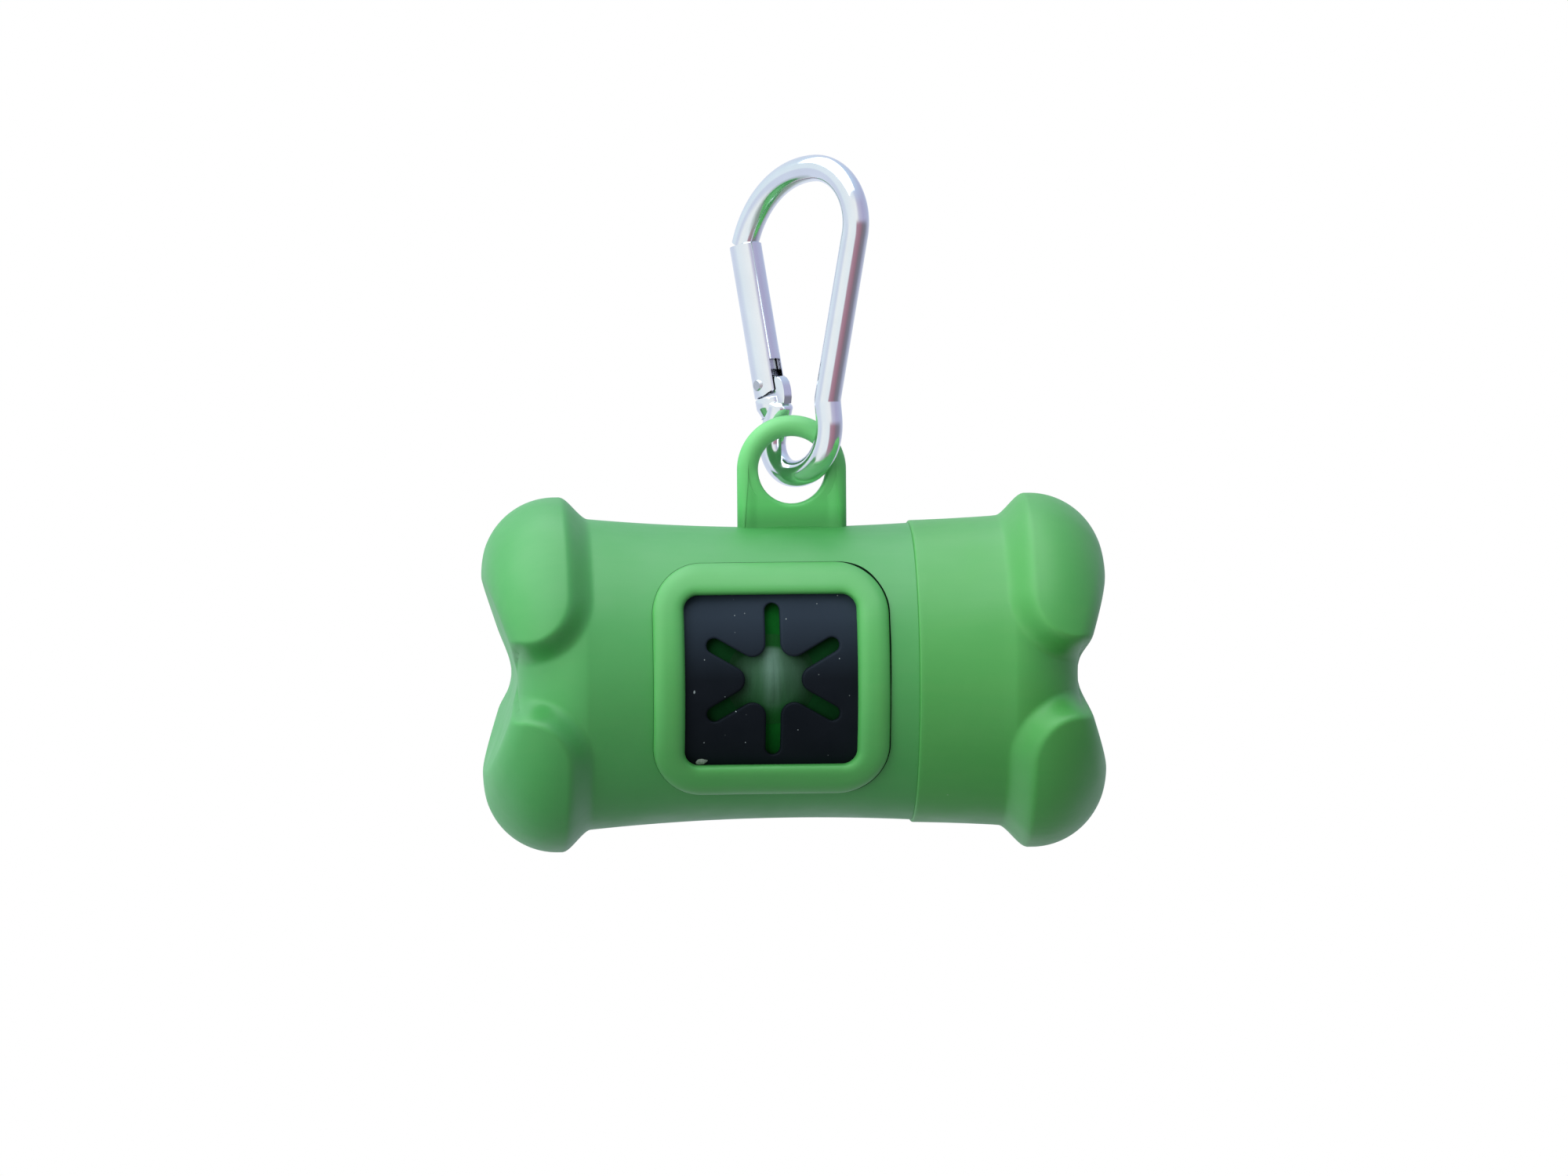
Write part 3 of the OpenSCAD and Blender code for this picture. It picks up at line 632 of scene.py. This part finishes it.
def build_body():
    s = Shape()
    # barrel from the seam to the lobed end, then the lobes; X runs to the left
    xs = np.linspace(BODY_FACE - BODY_EDGE, -END_X, 62)[:-1]
    wall = lip(BODY_FACE, LAND_R, float(waist(SEAM_X)), BODY_EDGE, -1, [67, 45, 22]) + \
        [(x, float(waist(x))) for x in xs]
    rows = np.concatenate([turned(wall, TURNS), LOBES * np.array([-1, 1, 1])])
    mid = (rows[:-1] + rows[1:]) / 2
    mid = (mid + np.roll(mid, -1, 1)) / 2
    hole = soft_in(mid[..., 0] - OUT_X, mid[..., 2], CUT, CUT_CORNER) & (mid[..., 1] < 0)
    s.grid(rows, keep=~hole)
    s.fan(rows[-1], (-NOTCH_X, 0, 0))
    add_recess(s)
    add_chamber(s)
    add_neck(s)
    add_tab(s)
    s.piece("housing", "dispenser", BODY_PLASTIC, ["body_shell"], angle=38)


def add_recess(s):
    """Recess under the outlet: wall, floor with a round hole, wall of the hole."""
    out = soft_square(SKIRT_W / 2 + FIT, SKIRT_CORNER + FIT)
    deep, high = on_cylinder(out, FLOOR_R), on_barrel(out) + (0, 0.02, 0)
    s.grid(np.stack([deep + (high - deep) * t for t in np.linspace(0, 1, 5)]))
    ring = polar(HOLE_R, np.arctan2(out[:, 1], out[:, 0]))
    chamfer = ring * ((HOLE_R + CHAMFER) / HOLE_R)
    s.grid(np.stack(between_loops(chamfer, out, FLOOR_R, np.linspace(0, 1, 22))))
    s.grid(np.stack([on_cylinder(ring, CHAMBER_R), on_cylinder(ring, FLOOR_R - 0.12),
                     on_cylinder(chamfer, FLOOR_R)]))


def add_chamber(s):
    """Chamber with the same hole: a square patch of cells is bent round it."""
    patch, cells = 9, 18                               # half side in mm and in cells
    arc = patch / CHAMBER_R
    line = np.linspace(-1, 1, 2 * cells + 1)
    xs = np.concatenate([np.linspace(-CHAMBER_END, OUT_X - patch, 14)[:-1], OUT_X + patch * line,
                         np.linspace(OUT_X + patch, MOUTH_X - 0.25, 12)[1:]])
    turn = np.concatenate([arc * line, np.linspace(arc, 2 * math.pi - arc, 110)[1:-1]])
    x, a = np.meshgrid(xs, turn, indexing="ij")
    u = (x - OUT_X) / patch
    v = np.where(a > math.pi, a - 2 * math.pi, a) / arc
    near = (np.abs(u) < 0.999) & (np.abs(v) < 0.999)
    m = np.maximum(np.abs(u), np.abs(v))
    rho = HOLE_R / patch
    first = np.round(rho * cells) / cells              # the square of cells that becomes the hole
    grow = np.where(m <= first, rho, rho + (m - first) / (1 - first) * (1 - rho))
    grow = grow / np.maximum(np.hypot(u, v), 1e-9)
    w = np.clip((1 - m) / (1 - first), 0, 1)
    bent = 1 - w + grow * w
    mid_u = np.abs((x[:-1] + x[1:]) / 2 - OUT_X) / patch
    mid_v = np.abs(np.roll(v, -1, 1)[:-1] + v[:-1]) / 2
    inside = (np.maximum(mid_u, mid_v) < first) & (np.abs(v[:-1]) < 1.01)
    s.grid(around(np.where(near, OUT_X + patch * u * bent, x), CHAMBER_R,
                  np.where(near, v * arc * bent, a)), flip=True, keep=~inside)
    s.grid(turned([(-x, r) for x, r in CHAMBER_CLOSED], 160))


def add_neck(s):
    """Neck: mouth, threaded outside, locating land."""
    nx, nr, land = MOUTH_X, NECK_R, SEAM_X + SEAM_GAP + LAND_LEN
    s.grid(turned([(nx - 0.25, CHAMBER_R), (nx - 0.07, CHAMBER_R + 0.08), (nx, CHAMBER_R + 0.25),
                   (nx, nr - 0.3), (nx - 0.1, nr - 0.1), (nx - 0.3, nr)], 240), flip=True)
    s.grid(threaded(np.linspace(nx - 0.3, land, 48), nr, THREAD_H, SEAM_X + 2.6, 1.15), flip=True)
    s.grid(turned([(land, nr), (land, LAND_R - 0.15), (land - 0.15, LAND_R), (SEAM_X, LAND_R)],
                  240), flip=True)


def add_tab(s):
    """Flat hanging tab: a round bead along its rim and round its hole, a thinner web between."""
    r, outer = TAB_T / 2, TAB_W / 2
    inner = outer - TAB_T
    web, low_round = (TAB_T - 0.5) / 2, 0.5
    z_low = WAIST_R - 1.2
    phi = circle(220)
    cos, sin = np.cos(phi), np.sin(phi)
    # from the hole's middle to the rim: round above, straight sides and foot below
    reach = np.where(sin >= 0, outer, np.minimum(outer / np.maximum(np.abs(cos), 1e-9),
                                                 (TAB_Z - z_low) / np.maximum(-sin, 1e-9)))
    near = r * (1 - np.cos(np.linspace(0, math.pi / 2, 10)))       # distance from an edge
    ring = smooth(sin, -0.30, 0.25)                    # 1 where the ring is a round bead
    rows = []
    for d in near:
        low = web - low_round + bow(low_round - min(d, low_round), low_round) if d > 0 else 0.0
        rows.append((np.full(len(phi), inner) + d, ring * bow(r - d, r) + (1 - ring) * low))
    start, stop = inner + r, reach - r
    for t in np.concatenate([np.linspace(0, 0.22, 10)[1:], np.linspace(0.22, 0.78, 14)[1:-1],
                             np.linspace(0.78, 1, 10)[:-1]]):
        rho = start + t * (stop - start)
        from_side = outer - r - np.where(sin >= 0, rho, np.abs(rho * cos))
        bead = web + ring * (np.maximum(bow(rho - start, r), web) - web)
        low_side = web + (r - 0.10 - web) * (1 - smooth(from_side, 0.0, 1.25))
        high_side = np.maximum(bow(from_side, r - 0.08), web)
        rows.append((rho, np.maximum(bead, ring * high_side + (1 - ring) * low_side)))
    for d in near[::-1]:
        rho = reach - d
        from_side = np.where(sin >= 0, 0, 1) * np.maximum(0, outer - np.abs(rho * cos))
        rim = float(bow(r - d, r))
        flat = np.where(from_side < r, bow(r - from_side, r),
                        np.maximum(web, bow(from_side - r, r)))
        flat = np.where((sin < 0) & (from_side > d + 0.4), flat, rim)
        rows.append((rho, np.maximum(flat, rim if d > 0 else 0)))
    for sign in (1, -1):
        s.grid(np.stack([np.stack([rho * cos, sign * -h, TAB_Z + rho * sin], -1)
                         for rho, h in rows]), flip=(sign < 0))


def build_cap():
    s = Shape()
    top = float(waist(CAP_RIM)) + CAP_PROUD
    xs = np.linspace(CAP_RIM + CAP_EDGE, END_X, 22)[:-1]
    wall = lip(CAP_RIM, SOCKET_R + 0.2, top, CAP_EDGE, 1, [75, 60, 45, 30, 15]) + \
        [(x, float(waist(x)) + CAP_PROUD * (1 - (x - CAP_RIM) / (END_X - CAP_RIM))) for x in xs]
    rows = np.concatenate([turned(wall, TURNS), LOBES])
    s.grid(rows, flip=True)
    s.fan(rows[-1], (NOTCH_X, 0, 0), flip=True)
    # socket with a helical groove, step, chamber
    start, end = CAP_RIM + 0.2, MOUTH_X + 0.5
    s.grid(turned([(CAP_RIM, SOCKET_R + 0.2), (start, SOCKET_R)], 240))
    s.grid(threaded(np.linspace(start, end, 60), SOCKET_R, GROOVE_H, SEAM_X + 2.3, 1.35))
    s.grid(turned([(end, SOCKET_R), (end, CHAMBER_R)] + CHAMBER_CLOSED, 180))
    s.piece("screw_cap", "cap", CAP_PLASTIC, ["end_cap"], angle=38)


# ---------------------------------------------------------------- outlet
def bezel_outline(inward, corner):
    return soft_square(FRAME_W / 2 - inward, corner) * BEZEL_SCALE - BEZEL_DROP


def build_frame():
    s = Shape()
    rings = []
    domed = [(d, h * FRAME_PROUD) for d, h in BEZEL_SECTION]
    for d, h in [(0.0, FIT)] + domed + [(BEZEL_BAR, -0.55)]:
        corner = FRAME_CORNER - d * (FRAME_CORNER - BEZEL_INNER_CORNER) / BEZEL_BAR
        rings.append(on_barrel(bezel_outline(d, corner), h))
    # underside, then the skirt that goes into the recess
    sk_in = soft_square(SKIRT_W / 2 - SKIRT_WALL, SKIRT_CORNER - SKIRT_WALL)
    sk_out = soft_square(SKIRT_W / 2, SKIRT_CORNER)
    rings += [on_cylinder(sk_in, RUBBER_OUT + 0.05), on_cylinder(sk_in, FLOOR_R + FIT),
              on_cylinder(sk_out, FLOOR_R + FIT), on_barrel(sk_out, FIT)]
    s.grid(np.stack(rings), wrap_u=True, flip=True)
    s.piece("outlet_bezel", "dispenser", FRAME_PLASTIC, ["outlet_frame"],
            angle=50)


def build_joint_line():
    """Painted shadow: a matt dark strip in the joint along the frame's right side and corners, where
    the frame's shadow falls.
    """
    s = Shape()
    out, inn = (bezel_outline(d, FRAME_CORNER - d) for d in (0.0, 0.5))
    a = np.arctan2(out[:, 1], out[:, 0])
    ragged = 1 + 0.12 * np.sin(9 * a) + 0.07 * np.sin(23 * a + 1)
    width = 0.03 + 0.23 * smooth(out[:, 0], 8.0, 12.5) * (0.70 + 0.30 * np.sin(a)) * ragged
    along = np.roll(out, -1, 0) - np.roll(out, 1, 0)
    normal = np.stack([along[:, 1], -along[:, 0]], -1) / np.hypot(*along.T)[:, None]
    edge = out + normal * width[:, None]
    s.grid(np.stack([on_barrel(inn, 0.005), on_barrel(inn, 0.03), on_barrel(out, 0.03),
                     on_barrel(edge, 0.02), on_barrel(edge, 0.005)]), wrap_u=True)
    s.piece("joint_shade", "dispenser", JOINT_SHADOW, angle=60)


def build_recess_shade_sheet():
    """Painted shade: a matt dark sheet on the floor of the recess, seen deep in the slots of the
    star.
    """
    s = Shape()
    out = soft_square(SKIRT_W / 2 - 0.2, SKIRT_CORNER - 0.2)
    ring = polar(HOLE_R + 0.2, np.arctan2(out[:, 1], out[:, 0]))
    s.grid(np.stack(between_loops(ring, out, FLOOR_R + 0.005, np.linspace(0, 1, 16)) +
                    between_loops(ring, out, FLOOR_R + 0.03, np.linspace(1, 0, 16))),
           wrap_u=True, flip=True)
    s.piece("recess_shade_sheet", "dispenser", FLOOR_SHADE, angle=60)


def star(delta):
    """Outline of the star slit, grown by delta: round petal tips and round slot ends in turn."""
    to_tip, to_slot = SLOT_W + 2 * PETAL_R, SLOT_REACH - SLOT_W / 2
    arcs = []
    for k in range(6):
        a, b = math.radians(60 * k), math.radians(60 * k + 30)
        arcs.append((polar(to_tip, a), PETAL_R - delta,
                     a + np.radians(np.linspace(240, 120, 13))))
        arcs.append((polar(to_slot, b), SLOT_W / 2 + delta,
                     b + np.radians(np.linspace(-90, 90, 13))))
    return joined(arcs, 6)


def build_diaphragm():
    s = Shape()
    half, corner = SKIRT_W / 2 - SKIRT_WALL - FIT, SKIRT_CORNER - SKIRT_WALL - FIT
    walls = [(0.0, RUBBER_IN), (0.0, RUBBER_OUT - STAR_BEVEL)] + \
            [(STAR_BEVEL * (1 - math.cos(a)), RUBBER_OUT - STAR_BEVEL * (1 - math.sin(a)))
             for a in np.radians([15, 30, 45, 60, 75, 90])]
    s.grid(np.stack([on_cylinder(star(d) + STAR_SHIFT, r) for d, r in walls]), flip=True)
    for r, delta, flip in ((RUBBER_OUT, STAR_BEVEL, False), (RUBBER_IN, 0.0, True)):
        add_sheet(s, star(delta), soft_square(half, corner) - STAR_SHIFT, half, corner, r, flip)
    s.piece("star_diaphragm", "dispenser", RUBBER, ["outlet_diaphragm"], angle=50)


def add_sheet(s, hole, out, half, corner, r, flip):
    """One face of the rubber: evenly spread triangles between the star and the outline."""
    nh, no = len(hole), len(out)
    edges = [(i, (i + 1) % nh) for i in range(nh)] + \
            [(nh + i, nh + (i + 1) % no) for i in range(no)]
    angle = np.arctan2(hole[:, 1], hole[:, 0])
    order = np.argsort(angle)

    def past_star(p):
        """Further out than the star's outline in the same direction."""
        edge = np.interp(np.arctan2(p[..., 1], p[..., 0]), angle[order], np.hypot(*hole.T)[order],
                         period=2 * math.pi)
        return np.hypot(p[..., 0], p[..., 1]) > edge
    spread = np.arange(-half + 0.5, half, 0.7)
    x, z = np.meshgrid(spread, spread)
    x = x + 0.35 * (np.arange(len(spread)) % 2)[:, None]
    inner = np.stack([x.ravel(), z.ravel()], -1)
    inner = inner[soft_in(inner[:, 0], inner[:, 1], half - 0.3, corner)] - STAR_SHIFT
    d = np.min(np.hypot(*(inner[:, None] - hole[None]).transpose(2, 0, 1)), 1)
    inner = inner[(d > 0.35) & past_star(inner)]
    pts = [Vector(p) for p in np.vstack([hole, out, inner])]
    v, _, f, *_ = geometry.delaunay_2d_cdt(pts, edges, [], 0, 1e-5)
    v, f = np.array([list(p) for p in v]), np.array(f)
    mid = v[f].mean(1)
    f = f[past_star(mid) & soft_in(mid[:, 0] + STAR_SHIFT[0], mid[:, 1], half + 0.01, corner)]
    s.add(on_cylinder(v + STAR_SHIFT, r), (f[:, ::-1] if flip else f).tolist())


# ---------------------------------------------------------------- bags
def build_roll():
    s = Shape()
    r, half, bore = ROLL_D / 2, ROLL_LEN / 2, CORE_D / 2 + 0.05
    rng = np.random.default_rng(5)
    a = circle(220)
    x, turn = np.meshgrid(np.linspace(-half + 0.35, half - 0.35, 120), a, indexing="ij")
    wall = np.full_like(x, r - 0.16)
    for _ in range(26):                                # soft creases round the wound film
        c, w, h = rng.uniform(-half, half), rng.uniform(0.4, 1.6), rng.uniform(-0.10, 0.09)
        lean, p = rng.uniform(-1.2, 1.2), rng.uniform(0, 6.28)
        wall += h * np.exp(-((x - c - lean * np.sin(turn + p)) / w) ** 2)
    lap = turn / (2 * math.pi)
    wall = np.minimum(wall, r) - 0.10 * (lap > 0.62) * (lap < 0.625)    # free edge of the bag
    s.grid(around(x, wall, turn) + (0, 0, ROLL_Z))
    turns = 74
    for sign in (-1, 1):                               # wound ends, each turn a step
        wobble = 0.10 * np.sin(np.arange(turns) * 2.4) + rng.uniform(-0.10, 0.10, turns)
        xe = half - 0.12 - np.abs(wobble)
        xe[0] = half - 0.35
        end = np.repeat(np.linspace(r - 0.16, bore, turns)[:, None], len(a), 1)
        end[0] = wall[-1 if sign > 0 else 0]
        s.grid(around(xe[:, None] * sign, end, a) + (0, 0, ROLL_Z), flip=sign < 0)
    s.piece("bag_film_roll", "roll", FILM, ["bag_roll"], angle=60)


def build_bag_end():
    """Film of the next bag, drawn over the hole behind the star."""
    s = Shape()
    rho, phi = np.meshgrid(np.linspace(0.02, HOLE_R + 0.5, 60), circle(160), indexing="ij")
    q = polar(rho, phi)
    x, z = q[..., 0], q[..., 1]
    rise = 0.34 * (1 - smooth(rho, 0.6, 3.4))
    folds = ((0.05, 0.02, 0.42, 0.07), (-1.1, 0.10, 0.28, 0.03), (-1.9, 0.16, 0.36, 0.035),
             (0.95, -0.06, 0.22, 0.03), (1.7, -0.12, 0.34, 0.035), (-0.5, 0.04, 0.15, 0.02))
    fold = sum(h * np.exp(-((x - c - lean * z) / w) ** 2) for c, lean, w, h in folds)
    r = FLOOR_R + 0.055 + rise + fold * (1 - smooth(rho, 2.4, 3.5))
    s.grid(np.concatenate([on_cylinder(q, r), on_cylinder(q, r - 0.02)[::-1]]), wrap_u=True)
    s.piece("bag_end", "dispenser", DRAWN_FILM, angle=60)


def build_flash():
    """Scrap of moulding flash caught in the frame's lower left corner."""
    s = Shape()
    rng = np.random.default_rng(3)
    a, b = np.meshgrid(circle(26), np.linspace(0.02, math.pi - 0.02, 12))
    lump = 1 + 0.16 * np.sin(3 * a + 1) * np.sin(2 * b) + 0.12 * np.cos(5 * a) * np.sin(b) ** 2
    x = SCRAP_X + 0.76 * lump * np.cos(a) * np.sin(b)
    z = SCRAP_Z + 0.40 * lump * np.cos(b) + 0.10 * np.cos(a) * np.sin(b)
    y = -math.sqrt(RUBBER_OUT ** 2 - (SCRAP_Z - 0.1) ** 2) - SCRAP_SINK + \
        0.24 * lump * np.sin(a) * np.sin(b) + rng.uniform(-0.01, 0.01, a.shape)
    s.grid(np.stack([x, y, z], -1), flip=True)
    s.piece("flash_scrap", "dispenser", SCRAP, angle=70)


# ---------------------------------------------------------------- snap hook
def path_points(start, path):
    """Points and headings (radians) along a path of the rod, about 0.22 mm apart."""
    states = [start]
    for g in path:
        s = states[-1]
        length = g[1] if g[0] == 0 else abs(math.radians(g[1])) * g[0]
        k = max(2, math.ceil(length / 0.22))
        states += [step(s, [g[0], g[1] * i / k]) for i in range(1, k + 1)]
    states = np.array(states)
    return states[:, :2], np.radians(states[:, 2])


def sweep(pts, heads, radius):
    """Circles square to the path, in the hook's plane."""
    a = circle(ROD_SIDES)
    side = np.stack([-np.sin(heads), np.cos(heads)], -1)
    uv = pts[:, None, :] + side[:, None, :] * (radius * np.cos(a))[None, :, None]
    nn = np.broadcast_to(radius * np.sin(a), uv.shape[:2])
    return np.concatenate([uv, nn[..., None]], -1)


ROUNDED_END = ((1.0, 0.0), (0.985, 0.12), (0.93, 0.28), (0.80, 0.46), (0.55, 0.60), (0.0, 0.66))
CUT_END = ((1.0, 0.0), (1.0, 0.13), (0.96, 0.18), (0.0, 0.18))


def build_hook():
    s = Shape()
    r, gr = ROD_D / 2, GATE_D / 2
    # whole rod, from the neck below the gate round to the latch
    left, lh = path_points(LOW_L, GATE_SIDE)
    right, rh = path_points(LOW_R, TO_LATCH)
    pts = np.vstack([left[::-1], right[1:]])
    heads = np.concatenate([(lh - math.pi)[::-1], rh[1:]])
    rod = sweep(pts, heads, r)
    s.grid(hook_plane(rod), flip=True)
    # foot under the lug, and the latch end; both as (size, distance out) from the last circle
    for i, back, flip, profile in ((0, math.pi, False, ROUNDED_END), (-1, 0.0, True, CUT_END)):
        mid, out, rim = pts[i], polar(1.0, heads[i] + back), rod[i]
        s.grid(hook_plane(np.stack([
            np.concatenate([mid + (rim[:, :2] - mid) * k + out * d, rim[:, 2:] * k], -1)
            for k, d in profile])), flip=flip)
    # nose that catches in the gate's mouth
    w, t, e = 0.9, 0.6, 0.12
    y0, y1 = GATE_TOP - 1.7, GATE_TOP + 0.5
    section = [(-w + e, -t), (w - e, -t), (w, -t + e), (w, t - e), (w - e, t), (-w + e, t),
               (-w, t - e), (-w, -t + e)]
    s.grid(np.stack([gate_plane([(x * k, y, z * k) for x, z in section])
                     for y, k in ((y1, 1.0), (y0 + e, 1.0), (y0, 0.86), (y0, 0.0))]), flip=True)
    # collar under the gate: cone from the neck, short cylinder, then the flat lug in the slot
    a = circle(ROD_SIDES)
    collar = [(-4.25, r - 0.02), (-4.1, gr - 0.5), (-3.1, gr - 0.06), (-2.95, gr), (-1.9, gr),
              (-1.78, gr - 0.05), (-1.75, gr - 0.2), (-1.75, 0.0)]
    s.grid(gate_plane(np.stack([np.stack([q * np.cos(a), np.full(len(a), y), q * np.sin(a)], -1)
                                for y, q in collar])))
    add_lug(s)
    s.piece("hook_wire", "hook", CHROME, ["hook_rod"], angle=42)


def add_lug(s):
    """Flat end of the rod inside the gate, round over the rivet, with a shoulder inward."""
    gr = GATE_D / 2
    reach = gr + 1.1
    outline = [(-1.2, -3.0), (reach - 0.3, -3.0), (reach - 0.02, -2.3), (reach + 0.1, -1.5),
               (reach + 0.1, -0.9), (reach, -0.2), (reach - 0.3, 0.35), (reach - 0.75, 0.7)]
    p = np.vstack([outline, polar(gr - GATE_WALL - 0.25, np.radians(np.linspace(42, 180, 16)))])
    c = p.mean(0)
    t, e = 0.75, 0.1
    loops = [gate_plane(np.concatenate([c + (p - c) * k, np.full((len(p), 1), z)], -1))
             for z, k in ((-t, 0.94), (-t + e, 1.0), (t - e, 1.0), (t, 0.94))]
    s.grid(np.stack(loops))
    s.fan(loops[0], gate_plane((*c, -t)), flip=True)
    s.fan(loops[-1], gate_plane((*c, t)))


def build_gate_skirt():
    """Lower end of the gate's tube: a swaged skirt, open on the inner side for the lug."""
    s = Shape()

    def shell(r):
        gap = math.asin(SKIRT_HALF_SLOT / r)
        q = polar(r, np.linspace(gap, 2 * math.pi - gap, 97))
        x, z = np.broadcast_to(q[:, 0], (14, 97)), np.broadcast_to(q[:, 1], (14, 97))
        low = SKIRT_LOW + SKIRT_RISE * smooth(x, 0.6, GATE_D / 2)
        return np.stack([x, low + np.linspace(0, 1, 14)[:, None] * (SKIRT_TOP - low), z], -1)
    out, inn = shell(GATE_D / 2 + 0.012), shell(GATE_D / 2 - 0.3)
    s.grid(gate_plane(np.concatenate([out, inn[::-1]])), wrap_u=True, wrap_v=False, flip=True)
    for k, flip in ((0, False), (-1, True)):
        s.grid(gate_plane(np.stack([out[:, k], inn[:, k]])), wrap_v=False, flip=flip)
    s.piece("gate_skirt", "gate", CHROME, angle=42)


build_body()
build_cap()
build_frame()
build_diaphragm()
build_roll()
build_bag_end()
build_recess_shade_sheet()
build_joint_line()
build_flash()
build_hook()
build_gate_skirt()

# CAD nodes that stay: dressed with their own finish
for node, material in (("roll_core", CARD), ("gate_tube", CHROME), ("gate_rivet", STEEL),
                       ("gate_pin", STEEL), ("gate_spring", STEEL)):
    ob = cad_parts[node]
    ob.data.materials.clear()
    ob.data.materials.append(material)

# ---------------------------------------------------------------- camera
AZ, EL, ROLL = math.radians(-3.6), math.radians(2.5), math.radians(0.44)
DIST = 1.6
PX = 0.1004 * MM                                # size of a photo pixel at the housing
MID_X, MID_Y = 1000, 750                        # middle of the 2000 x 1500 picture
SEEN_X, SEEN_Y = 1011.5, 857.5                  # pixel at which the housing's middle is seen
centre = Vector(in_frame((0, 0, 0)))
back = Vector((math.sin(AZ) * math.cos(EL), -math.cos(AZ) * math.cos(EL), math.sin(EL)))
quat = (-back).to_track_quat("-Z", "Y") @ Matrix.Rotation(-ROLL, 4, "Z").to_quaternion()
right, up = quat @ Vector((1, 0, 0)), quat @ Vector((0, 1, 0))
aim = centre + right * ((MID_X - SEEN_X) * PX) + up * ((SEEN_Y - MID_Y) * PX)
cam_data = bpy.data.cameras.new("camera")
cam_data.sensor_width = 36
cam_data.lens = 18 / (MID_X * PX / DIST)
cam_data.clip_start, cam_data.clip_end = 0.01, 20
cam = put("camera", cam_data)
cam.rotation_mode = "QUATERNION"
cam.rotation_quaternion = quat
cam.location = aim + back * DIST
bpy.context.scene.camera = cam

# ---------------------------------------------------------------- floor
FLOOR_SIZE, FLOOR_Z = 0.55, float(in_frame((0, 0, -130))[2])
floor_mesh = bpy.data.meshes.new("floor")
floor_mesh.from_pydata([(*p, FLOOR_Z) for p in polar(FLOOR_SIZE, circle(96)).tolist()], [],
                       [tuple(range(96))])
floor = put("floor", floor_mesh)
paper = bpy.data.materials.new("floor_paper")
t = Nodes(paper)
ray = t.node("LightPath").outputs
seen = ray["Is Camera Ray"]
white = t.node("Emission", {"Color": (1, 1, 1), "Strength": 1.0}).outputs[0]
grey = t.node("BsdfDiffuse", {"Color": t.mix(seen, (0.28, 0.28, 0.28), (0.80, 0.80, 0.80))})
sheet = t.blend(t.math("MULTIPLY", seen, 0.55), grey.outputs[0], white)
clear = t.node("BsdfTransparent").outputs[0]
t.node("OutputMaterial", {"Surface": t.blend(ray["Is Glossy Ray"], sheet, clear)})
floor.data.materials.append(paper)

# ---------------------------------------------------------------- world
world = bpy.data.worlds.new("studio")
bpy.context.scene.world = world
t = Nodes(world)
away = t.node("SeparateXYZ", {0: t.node("TexCoord").outputs["Generated"]}).outputs
# what polished metal sees, by direction round the object, for the half above and the half below
turn = t.math("ARCTAN2", away["X"], t.math("MULTIPLY", away["Y"], -1.0))
turn = t.math("ADD", t.math("MULTIPLY", turn, 0.5 / math.pi), 0.5)
upper = t.ramp(turn, (0.0, (0.72, 0.78, 0.92)), (0.16, (0.80, 0.92, 1.0)),
               (0.52, (0.98, 1.0, 1.0)), (0.575, (0.60, 0.58, 0.74)), (0.68, (0.47, 0.45, 0.66)),
               (0.86, (0.50, 0.54, 0.74)), (1.0, (0.72, 0.78, 0.92)))
lower = t.ramp(turn, (0.0, (0.80, 0.85, 0.96)), (0.14, (0.72, 0.78, 0.92)),
               (0.27, (0.70, 0.76, 0.90)), (0.33, (0.96, 1.0, 1.0)), (0.49, (0.90, 0.97, 1.0)),
               (0.512, (0.48, 0.29, 0.36)), (0.60, (0.38, 0.20, 0.26)), (0.66, (0.24, 0.19, 0.23)),
               (0.74, (0.23, 0.23, 0.29)), (0.82, (0.44, 0.46, 0.60)), (1.0, (0.80, 0.85, 0.96)))
tilt = t.math("ADD", t.math("MULTIPLY", away["Z"], 0.5), 0.5)
sky = t.mix(t.ramp(tilt, (0.47, 0.0), (0.53, 1.0)), lower, upper)
sky = t.mix(t.ramp(away["Z"], (0.45, 0.0), (0.85, 0.9)), sky, (0.60, 0.74, 0.94))
down = t.math("MULTIPLY", away["Z"], -1.0)
sky = t.mix(t.ramp(down, (0.60, 0.0), (0.85, 1.0)), sky, (0.30, 0.37, 0.33))
ray = t.node("LightPath").outputs
soft, metal, plain = (t.node("Background", {"Color": colour, "Strength": strength}).outputs[0]
                      for colour, strength in (((0.97, 0.99, 1.0), 0.30), (sky, 1.0),
                                               ((1, 1, 1), 1.0)))
lit = t.blend(ray["Is Glossy Ray"], soft, metal)
t.node("OutputWorld", {"Surface": t.blend(ray["Is Camera Ray"], lit, plain)})


# ---------------------------------------------------------------- lamps
def lamp(name, offset, size, power, color, in_metal=False):
    """Area lamp at an offset from the housing's middle, turned to it."""
    d = bpy.data.lights.new(name, "AREA")
    d.shape = "RECTANGLE"
    d.size, d.size_y = size
    d.energy = power
    d.color = color
    o = put(name, d)
    place = centre + Vector(offset)
    o.location = place
    o.rotation_mode = "QUATERNION"
    o.rotation_quaternion = (centre - place).to_track_quat("-Z", "Y")
    o.visible_glossy = in_metal


lamp("ceiling", (-0.28, -0.10, 1.0), (1.8, 1.4), 14.5, (0.95, 0.98, 1.0), in_metal=True)
lamp("window", (-0.66, -0.92, 0.30), (0.8, 0.8), 5.8, (1.0, 0.995, 0.97))
lamp("side", (-1.15, -0.05, 0.0), (0.7, 0.9), 5.6, (0.95, 0.98, 1.0))

bpy.context.scene.view_settings.view_transform = "Standard"
